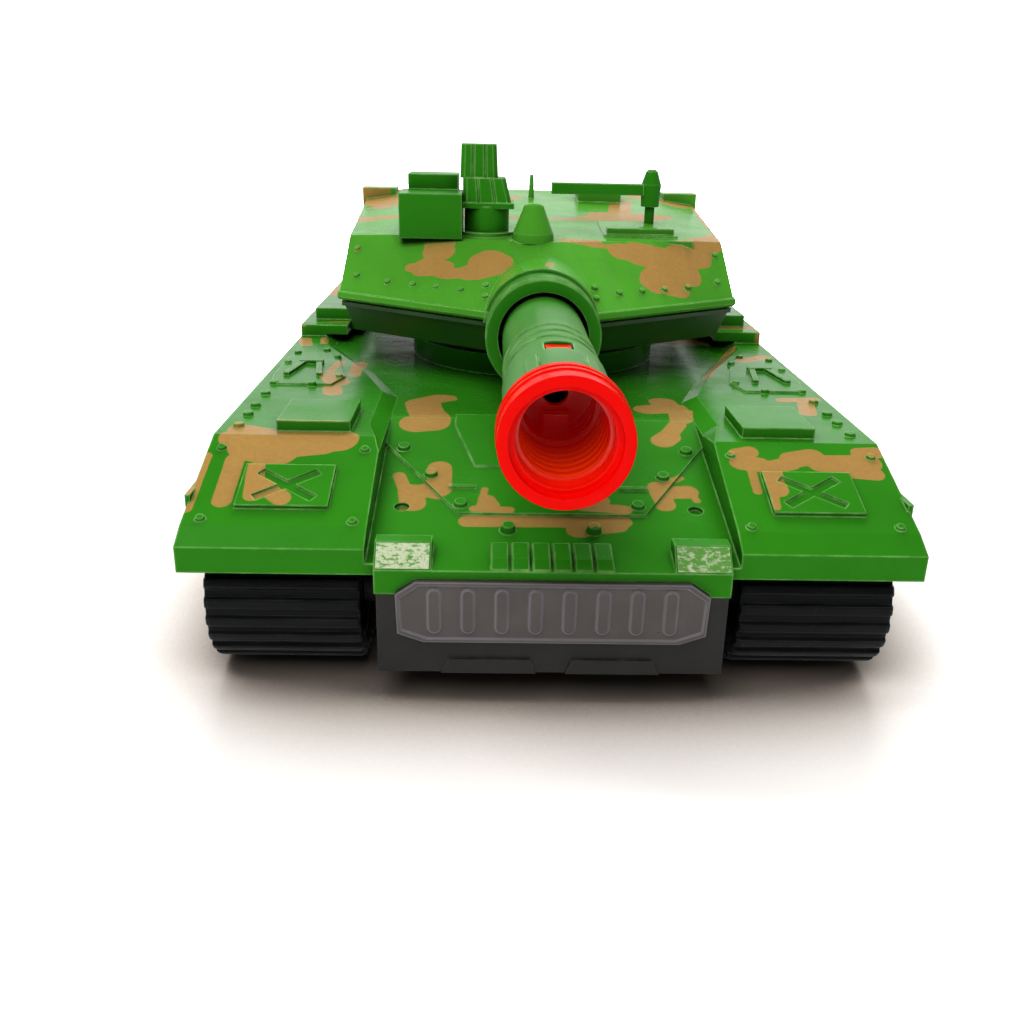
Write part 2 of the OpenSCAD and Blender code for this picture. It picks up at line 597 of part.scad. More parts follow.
// A cable is one mitred tube through a list of points.
cable_sides = 10;
function unit(v) = v / norm(v);
function heading(pts, i) = unit(pts[i + 1] - pts[i]);
function mitre(pts, i) = i == 0 ? heading(pts, 0) : i == len(pts) - 1 ? heading(pts, i - 1)
    : unit(heading(pts, i - 1) + heading(pts, i));
function first_ring(pts, r) = let (d = heading(pts, 0), u = unit(cross(d, [0, 0, 1] + [0.3, 0.1, 0])),
    v = cross(d, u)) [for (k = [0:cable_sides - 1]) let (a = 360 * k / cable_sides)
        pts[0] + r * (cos(a) * u + sin(a) * v)];
function tube_rings(pts, r, i) = i == 0 ? [first_ring(pts, r)] : let (before = tube_rings(pts, r, i - 1),
    d = heading(pts, i - 1), m = mitre(pts, i))
    concat(before, [[for (p = before[i - 1]) p + d * ((pts[i] - p) * m) / (d * m)]]);
module cable(pts, r = 0.6) {
    n = cable_sides;
    last = len(pts) - 1;
    rings = tube_rings(pts, r, last);
    polyhedron(points = concat([for (ring = rings) each ring], [pts[0], pts[last]]),
        faces = concat(
            [for (i = [0:last - 1], k = [0:n - 1]) let (j = (k + 1) % n)
                [i * n + k, (i + 1) * n + k, (i + 1) * n + j, i * n + j]],
            [for (k = [0:n - 1]) [(last + 1) * n, k, (k + 1) % n]],
            [for (k = [0:n - 1]) [(last + 1) * n + 1, last * n + (k + 1) % n, last * n + k]]));
}
module wiring() color("crimson") {
    for (s = [-1, 1]) {
        // battery leads, motor leads
        cable([[s * 7.6, 114, 25.15], [s * 7.6, 105.5, 25.15], [s * 11, 100, 25], [s * 11, 86, 24],
            [s * 6, 80.5, 22], [s * 6, 77.7, 19]]);
        cable([[s * 9, 77.7, 18], [s * 20, 84, 20], [s * 21.5, 93, 20.6], [s * 30, 100, 20.4],
            [s * 30.4, 213, 19], [s * 31.7, 217.9, 18.2]]);
        // switch and socket leads
        cable([[s * 22, s > 0 ? 189.4 : 191.4, 13], [s * 22, 184, 13], [s * 26, 150, 14], [s * 26,
            96, 16],
            [s * 13, 82, 18], [s * 11.2, 77.7, 17]]);
    }
    cable([[2, 77.7, 17], [2, 84, 16], [2, 91, 14.9]]);
}
module hull_screws() color("silver") both() for (y = screw_y) translate([screw_x, y, belly_z]) {
    translate([0, 0, 0.2]) difference() { cylinder(r = 2.6, h = 1.2);
        for (a = [0, 90]) rotate(a) box([-1.8, 1.8], [-0.3, 0.3], [-1, 0.7]); }
    translate([0, 0, 1]) cylinder(r = screw_r, h = tub_top_z + 4.5 - belly_z);
}

// ---------- traverse drive ----------
module traverse_gearmotor() color("gray") {
    difference() {
        union() {
            box([-13, 13], [pinion_y - 9, pinion_y + 6.6], [31, 35.6]);
            translate([0, pinion_y - 1, 16]) cylinder(r = 7.4, h = 15.2);
        }
        translate([0, pinion_y, 30]) cylinder(r = 1.5 + run_gap, h = 8);
    }
    for (x = [-10, 10]) translate([x, pinion_y - 5, 35.5]) cylinder(r = 2.2,
        h = roof_skin_z - 35.5 - 0.05);
}
module traverse_pinion() color("ivory") translate([0, pinion_y, 0]) {
    translate([0, 0, ring_z0 - 0.2]) gear(traverse_teeth, ring_m, ring_z1 - ring_z0 + 0.2, 90);
    translate([0, 0, 31.6]) cylinder(r = 1.5, h = ring_z0 - 31.4);
}
module turret_ring_gear() color("ivory") translate([0, turret_y, 0]) difference() {
    translate([0, 0, ring_z0]) gear(ring_teeth, ring_m, ring_z1 - ring_z0, -90 + 180 / ring_teeth);
    translate([0, 0, ring_z0 - 1]) cylinder(r = neck_r - 8, h = 10);
    for (a = [45:90:315]) rotate(a) translate([neck_r - 4, 0,
        ring_z0 - 1]) cylinder(r = screw_r + 0.2, h = 10);
}

// ---------- turret ----------
// Plan outline of the turret at rim height, moved inward by d.
function front_y(x, d = 0) = 70.9 + 0.673 * x + 1.205 * d;
function side_at(y, d = 0) = 51.65 + 0.0532 * y - d;
function corner(d) = let (y = 109.6 + 0.55 * d) [side_at(y, d), y];
rear_y = 214;
s_list = [-1, -0.884, -0.768, -0.6, -0.45, -0.3, -0.15, 0, 0.15, 0.3, 0.45, 0.6, 0.768, 0.884, 1];
function rim_ring(d) = let (c = corner(d), r = rear_y - d) concat(
    [for (s = s_list) [s * c[0], front_y(abs(s) * c[0], d)]],
    [[side_at(r, d), r], [45, r], [0, r], [-45, r], [-side_at(r, d), r]]);
function roof_y(s) = s < 0.768 ? 114.5 + s / 0.768 * 9.5 : 124 + (s - 0.768) / 0.232 * 6;
function roof_z(s) = s < 0.768 ? 80.4 + s / 0.768 * 0.4 : 80.8 - (s - 0.768) / 0.232 * 1;
function roof_ring(d) = let (k = (56 - d * 1.1) / 56, r = 208 - d) concat(
    [for (s = s_list) [s * 56 * k, roof_y(abs(s)) + 0.75 * d, roof_z(abs(s)) - 1.1 * d]],
    [[59 - 1.1 * d, r, 86.6 - d], [46, r, 88.5 - d], [0, r, 89 - d], [-46, r, 88.5 - d],
        [-59 + 1.1 * d, r, 86.6 - d]]);
module loft(low, high) {
    n = len(low);
    f = len(s_list);
    polyhedron(
        points = concat(low, high, [middle(low)]),
        faces = concat([for (i = [0:n - 1]) let (j = (i + 1) % n)
            each [[i, j, 2 * n], [i, n + i, j], [j, n + i, n + j]]],
            [for (i = [2:f - 4]) [n + i, n + f + 2, n + i + 1]],
            [[n, n + f + 4, n + 1], [n + 1, n + f + 4, n + f + 3], [n + 1, n + f + 3, n + 2],
             [n + 2, n + f + 3, n + f + 2], [n + f - 3, n + f + 2, n + f + 1], [n + f - 3, n + f + 1,
                 n + f - 2],
             [n + f - 2, n + f + 1, n + f], [n + f - 2, n + f, n + f - 1]]));
}
module turret_upper() color("forestgreen") difference() {
    union() {
        difference() {
            union() {
                loft(at_z(rim_ring(0.6), rim_z), roof_ring(0));
                ring_solid(at_z(rim_ring(0.5), part_z + 0.7), at_z(rim_ring(0), part_z + 1.4));
                ring_solid(at_z(rim_ring(0), part_z + 1.4), at_z(rim_ring(0.2), rim_z + rim_ledge));
                ring_solid(at_z(rim_ring(2.2), part_z), at_z(rim_ring(2.2), part_z + 0.8));
            }
            loft(at_z(rim_ring(wall + 0.8), part_z + 0.6), roof_ring(wall));
            ring_solid(at_z(rim_ring(wall + 2.2), part_z - 1), at_z(rim_ring(wall + 2.2), part_z + 0.9));
        }
        // gun housing hump
        difference() {
            ycyl(15.3, collar_y[0] + 14, 112, 0, gun_z);
            box([-20, 20], [60, 120], [30, part_z]);
        }
        roof_relief();
        both() for (p = turret_posts) translate([p[0], p[1], part_z]) cylinder(r = 3.2,
            h = p[2] - part_z);
    }
    ycyl(collar_r, 50, collar_y[1], 0, gun_z);
    ycyl(13.2, 50, 114, 0, gun_z);
    both() for (p = turret_posts) translate([p[0], p[1], part_z - 1]) cylinder(r = screw_r, h = 12);
    // peg holes of the plugged-in roof pieces
    translate([-15, 129, 60]) cylinder(r = 4, h = 40);
    translate([36, 146, 60]) cylinder(r = 1.5 + run_gap, h = 40);
    for (x = [-36, -27]) translate([x, 124, 60]) cylinder(r = 1.2, h = 40);
}
// A point on the sloping front: s runs outward from the centre, t from rim to roof.
function front_pt(s, t) = let (c = corner(0.6), x = s * c[0]) [x + t * (s * 56 - x),
    front_y(x, 0.6) + t * (roof_y(s) - front_y(x, 0.6)), rim_z + t * (roof_z(s) - rim_z)];
module turret_rivets() both() for (q = [[0.26, 0.2], [0.26, 0.34], [0.38, 0.25], [0.5, 0.25], [0.62,
    0.25],
    [0.75, 0.25], [0.92, 0.3], [0.94, 0.75]])
    translate(front_pt(q[0], q[1])) rotate([26, 0, 24]) translate([0, 0, -0.7]) rivet(1.1, 1.3);
module roof_relief() {
    turret_rivets();
    // round-topped vision dome
    translate([-1.4, 119, 80]) {
        cylinder(r1 = 6.2, r2 = 5.9, h = 2.6, $fn = 48);
        translate([0, 0, 2.5]) cylinder(r1 = 5.9, r2 = 2.9, h = 7.4, $fn = 48);
        translate([0, 0, 9.8]) scale([1, 1, 0.4]) sphere(r = 2.95, $fn = 32);
    }
    // loader's hatch with a raised frame and lever
    translate([30, 130, 80.4]) rotate([5.4, 0, 0]) {
        box([-15, 16], [-8, 24], [-1, 1.1]);
        box([-10, 12], [-4, 18], [0, 1.7]);
        box([-9, 11], [-2.4, 0.6], [1, 3.4]);
        box([-7, 4], [3, 5.4], [1, 2.8]);
    }
    // commander's cupola base, rear stowage bins and lifting bars
    difference() {
        translate([-15, 129, 79.6]) cylinder(r = 9, h = 2.6);
        box([-26, -22], [116, 142], [81, 84]);
    }
    box([16.5, 31.5], [186, 200], [84, 91]);
    box([-36, -24.5], [160, 176], [82, 90.6]);
    both() box([48, 60], [196, 205], [80, 89.4]);
    translate([0.2, 190, 86]) cylinder(r1 = 1.1, r2 = 0.6, h = 9.2);
    for (i = [0:4]) box([-40, 40], [rear_y - 5, rear_y + 1.2 - 0.9 * i], [67 + i * 3.6, 68.6 + i * 3.6]);
}
module turret_lower() color("darkgreen") difference() {
    union() {
        difference() {
            union() {
                ring_solid(at_z(rim_ring(4.7), turret_floor_z), at_z(rim_ring(2), part_z - 1.1));
                ring_solid(at_z(rim_ring(1.2), part_z - 1.2), at_z(rim_ring(1.2), part_z));
            }
            ring_solid(at_z(rim_ring(6.4), turret_floor_z + wall), at_z(rim_ring(4.2), part_z + 0.1));
        }
        translate([0, turret_y, ring_z1]) cylinder(r = neck_r, h = turret_floor_z + 1 - ring_z1);
        both() for (p = turret_posts) translate([p[0], p[1], turret_floor_z])
            cylinder(r = 3.2, h = part_z - turret_floor_z);
    }
    translate([0, turret_y, ring_z1 - 1]) cylinder(r = neck_r - 8, h = 30);
    for (a = [45:90:315]) translate([0, turret_y, 0]) rotate(a) translate([neck_r - 4, 0, ring_z1 - 1])
        cylinder(r = screw_r, h = 8);
    both() for (p = turret_posts) translate([p[0], p[1], turret_floor_z - 1]) {
        cylinder(r = screw_r + 0.2, h = 12);
        cylinder(r = 2.7, h = 3);
    }
    ycyl(collar_r, 50, collar_y[1], 0, gun_z);
    ycyl(13.2, 50, 172, 0, gun_z);
    box([-10.8, 10.8], [84, 172], [45, gun_z]);
}
module gun_collar() color("forestgreen") difference() {
    union() {
        ycyl(collar_r, collar_y[0], collar_y[1], 0, gun_z);
        for (i = [0:2]) ycyl(collar_r + 0.3, collar_y[0] + 1.5 + i * 2.2,
            collar_y[0] + 2.6 + i * 2.2, 0, gun_z);
    }
    ycyl(collar_in_r, collar_y[0] - 1, collar_y[1] + 1, 0, gun_z);
    xcyl(trunnion_r + run_gap, -20, 20, trunnion_y, gun_z);
}
module turret_screws() color("silver") {
    both() for (p = turret_posts) translate([p[0], p[1], turret_floor_z]) {
        translate([0, 0, 0.8]) cylinder(r = 2.5, h = 1.2);
        cylinder(r = screw_r, h = 17);
    }
    for (a = [45:90:315]) translate([0, turret_y, 0]) rotate(a) translate([neck_r - 4, 0,
        ring_z0 - 1.2]) {
        cylinder(r = 2.4, h = 1.2);
        cylinder(r = screw_r, h = 11);
    }
}

// ---------- gun ----------
module barrel() color("limegreen") difference() {
    union() {
        ycyl(barrel_r, -8, 86, 0, gun_z);
        translate([0, -10.5, gun_z]) rotate([-90, 0, 0]) cylinder(r = barrel_r + 0.5, h = 24);
        for (y = [20, 26, 32]) ycyl(barrel_r + 0.25, y, y + 2.2, 0, gun_z);
        ycyl(barrel_r + 0.9, -10.5, -8, 0, gun_z);
        for (a = [60, 120, 240, 300]) translate([0, 0, gun_z]) rotate([0, a, 0]) box([barrel_r,
            barrel_r + 1],
            [-8, 2], [-1.2, 1.2]);
        both() xcyl(trunnion_r, barrel_r - 1.5, collar_r - 0.4, trunnion_y, gun_z);
    }
    ycyl(9.1, -12, 16, 0, gun_z);
    ycyl(8.2, -12, 90, 0, gun_z);
    box([-2.8, 2.8], [6.4, 12.6], [gun_z + 7, gun_z + 14]);
}
module muzzle_insert() color("red") difference() {
    union() {
        ycyl(11.9, muzzle_y, -10.6, 0, gun_z);
        ycyl(9.1, -10.7, 15.5, 0, gun_z);
        for (y = [-13.5, -16.2]) ycyl(12.15, y, y + 1.2, 0, gun_z);
        // snap tab standing in the barrel slot
        box([-2.5, 2.5], [8.6, 12.2], [gun_z + 7.6, gun_z + barrel_r - 0.2]);
    }
    ycyl(muzzle_r, muzzle_y - 1, 4, 0, gun_z);
    ycyl(muzzle_r + 1.9, muzzle_y - 1, muzzle_y + 2.2, 0, gun_z);
    ycyl(muzzle_r + 0.8, muzzle_y + 2, muzzle_y + 6, 0, gun_z);
    // nozzle chamber with a dart stop standing on its floor and an air hole through its end
    difference() {
        ycyl(7.2, 0, 13.6, 0, gun_z);
        box([-2.6, 2.6], [8.5, 14], [gun_z - 8, gun_z - 3]);
    }
    ycyl(2.6, 13, 20, 0, gun_z);
    both() box([3.1, 4.2], [-9, 17], [gun_z + 5.6, gun_z + 12]);
}
tube_y = [86.1, 132];
tube_bore = 7.2;
rod_r = 2;
plunger_y = 92;
module launcher_cylinder() color("dimgray") difference() {
    union() {
        ycyl(tube_bore + 1.4, tube_y[0], tube_y[1], 0, gun_z);
        ycyl(8.2, 80, tube_y[0] + 0.1, 0, gun_z);
    }
    ycyl(6, 79, tube_y[0] + 2, 0, gun_z);
    ycyl(tube_bore, tube_y[0] + 1.5, tube_y[1] - 2, 0, gun_z);
    ycyl(rod_r + run_gap, tube_y[1] - 4, tube_y[1] + 2, 0, gun_z);
}
module launcher_plunger() color("orange") {
    difference() {
        ycyl(tube_bore - run_gap, plunger_y, plunger_y + 7, 0, gun_z);
        difference() {
            ycyl(9, plunger_y + 2.6, plunger_y + 4.4, 0, gun_z);
            ycyl(5.8, plunger_y + 2, plunger_y + 5, 0, gun_z);
        }
    }
    ycyl(rod_r, plunger_y + 6, tube_y[1] + 5, 0, gun_z);
    ycyl(3.5, tube_y[1] + 4.5, tube_y[1] + 8, 0, gun_z);
}
spring_r = 4.6;
wire_r = 0.38;
module launcher_spring() color("silver") {
    y0 = plunger_y + 7.5;
    y1 = tube_y[1] - 2.5;
    n = spring_coils;
    step = (y1 - y0) / n;
    for (i = [0:n]) translate([0, y0 + step * i, gun_z]) rotate([90, 0, 0])
        rotate_extrude($fn = 48) translate([spring_r, 0]) circle(r = wire_r, $fn = 16);
    for (i = [0:n - 1]) ycyl(0.3, y0 + step * i, y0 + step * (i + 1),
        spring_r * (i % 2 == 0 ? 1 : -1), gun_z);
}

// ---------- roof pieces ----------
function roof_seat(y) = 82.22 + 0.0921 * (y - 136);
module sight_housing() color("limegreen") {
    // the underside follows the rise of the roof
    xprism([[117.6, roof_seat(117.6)], [136, roof_seat(136)], [136, 93], [117.6, 93]], -40.2, -22.1);
    xprism([[135.9, roof_seat(135.9)], [150, roof_seat(150)], [150, 97.4], [135.9, 97.4]], -38.8, -23.8);
    for (x = [-36, -27]) translate([x, 124, 78]) cylinder(r = 1.2, h = 4);
}
// Upright block with two grooves down its front, as a ring at height z.
function fluted(x, y, z) = let (third = (x[1] - x[0]) / 3, g = 0.5, c = 1.2) [
    [x[0], y[1], z], [x[0], y[0] + c, z], [x[0] + c, y[0], z],
    for (e = [x[0] + third, x[1] - third]) each [[e - g, y[0], z], [e, y[0] + g, z], [e + g, y[0], z]],
    [x[1] - c, y[0], z], [x[1], y[0] + c, z], [x[1], y[1], z]];
module periscope_tower() color("limegreen") translate([-15, 129, 0]) {
    translate([0, 0, 78]) cylinder(r = 4, h = 5);
    translate([0, 0, 82.25]) cylinder(r = 6.6, h = 7);
    box([-7, 8], [-6.4, 6.6], [88.8, 90.4]);
    ring_solid(fluted([-7.05, 7.2], [-6, 6.4], 90.3), fluted([-7, 5.4], [-5, 6], 97.2));
    ring_solid(fluted([-7.8, 3.2], [-4.2, 5.6], 97.1), fluted([-7.5, 2.7], [-4, 5.4], 106.4));
}
module machine_gun() color("limegreen") translate([36, 146, 0]) {
    translate([0, 0, 78]) cylinder(r = 1.5, h = 14);
    translate([0, 0, 88.6]) cylinder(r1 = 2.8, r2 = 3.1, h = 6.5);
    translate([0, 0, 95]) cylinder(r1 = 3.1, r2 = 1.8, h = 4);
    translate([0, 0, 98.9]) cylinder(r1 = 1.8, r2 = 1.2, h = 0.6);
    box([-31, -2], [-1.7, 1.7], [91.9, 95.2]);
}

// ---------- the pieces ----------
centred() hull_upper();
centred() chassis_tub();
centred() front_plate();
centred() headlamp_foils();
centred() side(-1) track();  // track_left
centred() side(1) track();  // track_right
centred() side(-1) road_wheel(1);  // road_wheel_left_1
centred() side(-1) road_wheel(2);  // road_wheel_left_2
centred() side(-1) road_wheel(3);  // road_wheel_left_3
centred() side(-1) road_wheel(4);  // road_wheel_left_4
centred() side(-1) road_wheel(5);  // road_wheel_left_5
centred() side(1) road_wheel(1);  // road_wheel_right_1
centred() side(1) road_wheel(2);  // road_wheel_right_2
centred() side(1) road_wheel(3);  // road_wheel_right_3
centred() side(1) road_wheel(4);  // road_wheel_right_4
centred() side(1) road_wheel(5);  // road_wheel_right_5
centred() side(-1) idler();  // idler_left
centred() side(1) idler();  // idler_right
centred() side(-1) sprocket();  // sprocket_left
centred() side(1) sprocket();  // sprocket_right
centred() stub_axles();
centred() axle_caps();
centred() side(-1) drive_shaft();  // drive_shaft_left
centred() side(1) drive_shaft();  // drive_shaft_right
centred() side(-1) final_gear();  // final_gear_left
centred() side(1) final_gear();  // final_gear_right
centred() side(-1) intermediate_gear();  // intermediate_gear_left
centred() side(1) intermediate_gear();  // intermediate_gear_right
centred() side(-1) motor_pinion();  // motor_pinion_left
centred() side(1) motor_pinion();  // motor_pinion_right
centred() side(-1) drive_motor();  // drive_motor_left
centred() side(1) drive_motor();  // drive_motor_right
centred() gearbox_case();
centred() gearbox_covers();
centred() gear_spindles();
centred() shaft_bushes();
centred() battery_pack();
centred() battery_door();
centred() receiver_board();
centred() power_switch();
centred() switch_slider();
centred() charge_socket();
centred() wiring();
centred() hull_screws();
centred() traverse_gearmotor();
centred() traverse_pinion();
centred() turret_ring_gear();
centred() turret_upper();
centred() turret_lower();
centred() gun_collar();
centred() barrel();
centred() muzzle_insert();
centred() launcher_cylinder();
centred() launcher_plunger();
centred() launcher_spring();
centred() turret_screws();
centred() sight_housing();
centred() periscope_tower();
centred() machine_gun();
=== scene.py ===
"""Looks for the toy tank: procedural plastics, rubber tracks, studio floor, lights and camera."""

import json
import math

import bmesh
import bpy
from mathutils import Matrix, Vector


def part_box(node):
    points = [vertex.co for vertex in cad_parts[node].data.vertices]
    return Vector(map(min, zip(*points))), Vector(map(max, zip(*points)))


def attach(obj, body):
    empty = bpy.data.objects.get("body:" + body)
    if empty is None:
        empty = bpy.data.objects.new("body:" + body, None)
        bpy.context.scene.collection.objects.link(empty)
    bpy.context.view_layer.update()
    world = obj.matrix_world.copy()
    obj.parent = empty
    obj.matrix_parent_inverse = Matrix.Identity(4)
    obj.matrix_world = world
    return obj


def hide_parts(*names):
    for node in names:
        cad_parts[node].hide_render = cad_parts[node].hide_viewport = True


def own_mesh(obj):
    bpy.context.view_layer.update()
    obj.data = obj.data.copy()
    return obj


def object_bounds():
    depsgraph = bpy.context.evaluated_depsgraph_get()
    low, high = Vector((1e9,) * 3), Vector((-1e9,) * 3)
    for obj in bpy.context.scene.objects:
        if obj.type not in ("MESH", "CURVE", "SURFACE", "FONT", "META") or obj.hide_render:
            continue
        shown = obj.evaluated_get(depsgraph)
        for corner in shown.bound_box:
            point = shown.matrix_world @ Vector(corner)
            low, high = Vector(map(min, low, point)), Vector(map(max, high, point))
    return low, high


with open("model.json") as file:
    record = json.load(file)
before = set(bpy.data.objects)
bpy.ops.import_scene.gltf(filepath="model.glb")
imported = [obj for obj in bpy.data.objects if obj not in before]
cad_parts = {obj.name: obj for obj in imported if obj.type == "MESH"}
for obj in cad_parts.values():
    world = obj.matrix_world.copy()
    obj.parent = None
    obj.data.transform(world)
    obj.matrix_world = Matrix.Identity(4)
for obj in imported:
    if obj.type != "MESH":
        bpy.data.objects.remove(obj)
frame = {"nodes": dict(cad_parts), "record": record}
cad_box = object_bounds()
MM = 0.001
# share of the last camouflage stroke mixed into the next one's position, too small to see
CHAIN = 1e-7
# The numbers below count y from the nose plate; the origin is under the middle of the tank.
MUZZLE_FRONT = -20.7
NOSE_TO_MIDDLE = MUZZLE_FRONT - cad_box[0][1] / MM

# ------------------------------------------------------------------ colours (linear)
GREEN = (0.024, 0.200, 0.0075)
# the turret's green is the hull's plastic made paler, as painted sheen on the turret
TURRET_GREEN_PAINTED_SHEEN = (0.064, 0.300, 0.020)
BARREL_GREEN = (0.034, 0.200, 0.012)
TAN = (0.36, 0.205, 0.055)
# dark green moulding, darkened further as painted shade for parts that sit in shade under the turret
DARK_GREEN_PAINTED_SHADE = (0.010, 0.055, 0.005)
BLACK = (0.014, 0.0135, 0.0125)
RUBBER = (0.0036, 0.0041, 0.0046)


# ------------------------------------------------------------------ node helpers
class Nodes:
    """Short hand for building one material's node tree."""

    def __init__(self, name):
        self.mat = bpy.data.materials.new(name)
        self.mat.use_nodes = True
        self.tree = self.mat.node_tree
        self.tree.nodes.clear()
        self.out = self.tree.nodes.new("ShaderNodeOutputMaterial")
        self.bsdf = self.tree.nodes.new("ShaderNodeBsdfPrincipled")
        self.link(self.bsdf.outputs[0], self.out.inputs["Surface"])

    def link(self, a, b):
        self.tree.links.new(a, b)

    def put(self, socket, value):
        if isinstance(value, bpy.types.NodeSocket):
            self.link(value, socket)
        elif isinstance(value, tuple) and len(value) == 3 and socket.type == "RGBA":
            socket.default_value = (*value, 1.0)
        else:
            socket.default_value = value

    def node(self, kind, ins=None, **props):
        n = self.tree.nodes.new(kind)
        for k, v in props.items():
            setattr(n, k, v)
        for k, v in (ins or {}).items():
            self.put(n.inputs[k], v)
        return n

    def math(self, op, a, b=0.0, c=None, clamp=False):
        ins = {0: a, 1: b}
        if c is not None:
            ins[2] = c
        return self.node("ShaderNodeMath", ins, operation=op, use_clamp=clamp).outputs[0]

    def vmath(self, op, a, b=None, out=0, scale=None):
        ins = {0: a}
        if b is not None:
            ins[1] = b
        if scale is not None:
            ins[3] = scale
        return self.node("ShaderNodeVectorMath", ins, operation=op).outputs[out]

    def mix(self, fac, a, b):
        n = self.node("ShaderNodeMix", data_type="RGBA")
        self.put(n.inputs[0], fac)
        self.put(n.inputs[6], a)
        self.put(n.inputs[7], b)
        return n.outputs[2]

    def ramp(self, x, lo, hi, a=0.0, b=1.0, smooth=True):
        n = self.node("ShaderNodeMapRange", {0: x, 1: lo, 2: hi, 3: a, 4: b})
        n.interpolation_type = "SMOOTHSTEP" if smooth else "LINEAR"
        return n.outputs[0]

    def noise(self, vec, scale, detail=3.0, rough=0.55):
        return self.node("ShaderNodeTexNoise", {"Vector": vec, "Scale": scale, "Detail": detail,
                                                "Roughness": rough}).outputs["Fac"]

    def coords(self):
        """Object position in millimetres, with y from the nose."""
        tc = self.node("ShaderNodeTexCoord").outputs["Object"]
        return self.vmath("ADD", self.vmath("SCALE", tc, scale=1.0 / MM), (0.0, NOSE_TO_MIDDLE, 0.0))

    def edge(self, radius_mm, samples=4):
        """Rounded normal and an edge mask from the Bevel node."""
        bevel = self.node("ShaderNodeBevel", {"Radius": radius_mm * MM}, samples=samples)
        geo = self.node("ShaderNodeNewGeometry")
        dot = self.vmath("DOT_PRODUCT", bevel.outputs[0], geo.outputs["Normal"], out=1)
        return bevel.outputs[0], self.ramp(dot, 0.995, 0.90)

    def crevice(self, reach_mm, samples=4):
        """1 in the open, falling to 0 deep in corners."""
        ao = self.node("ShaderNodeAmbientOcclusion", {"Distance": reach_mm * MM}, samples=samples)
        return ao.outputs["AO"]

    def bump(self, height, distance_mm, strength=1.0, normal=None):
        ins = {"Strength": strength, "Distance": distance_mm * MM, "Height": height}
        if normal is not None:
            ins["Normal"] = normal
        return self.node("ShaderNodeBump", ins).outputs[0]

    def finish(self, **ins):
        for k, v in ins.items():
            self.put(self.bsdf.inputs[k.replace("_", " ")], v)
        return self.mat


def capsule_mask(n, pos, strokes, wobble, soft=0.3):
    """1 inside the union of round-ended strokes (x1, y1, x2, y2, r) drawn on the XY plane."""
    flat = n.vmath("MULTIPLY", pos, (1.0, 1.0, 0.0))
    best = wobble
    for i, (x1, y1, x2, y2, r) in enumerate(strokes):
        # chained so that the strokes are worked out one after another
        pin = n.node("ShaderNodeVectorMath", {0: best, 1: (CHAIN, CHAIN, 0.0), 2: flat},
                     operation="MULTIPLY_ADD").outputs[0]
        pa = n.vmath("SUBTRACT", pin, (x1, y1, 0.0))
        d = Vector((x2 - x1, y2 - y1, 0.0))
        along = n.vmath("DOT_PRODUCT", pa, tuple(d / d.length_squared), out=1)
        h = n.math("MULTIPLY", along, 1.0, clamp=True)
        pa = n.vmath("SUBTRACT", pa, n.vmath("SCALE", tuple(d), scale=h))
        dist = n.math("SUBTRACT", n.vmath("LENGTH", pa, out=1), r)
        best = dist if i == 0 else n.math("SMOOTH_MIN", best, dist, 0.8)
    return n.ramp(n.math("ADD", best, wobble), soft / 2, -soft / 2)


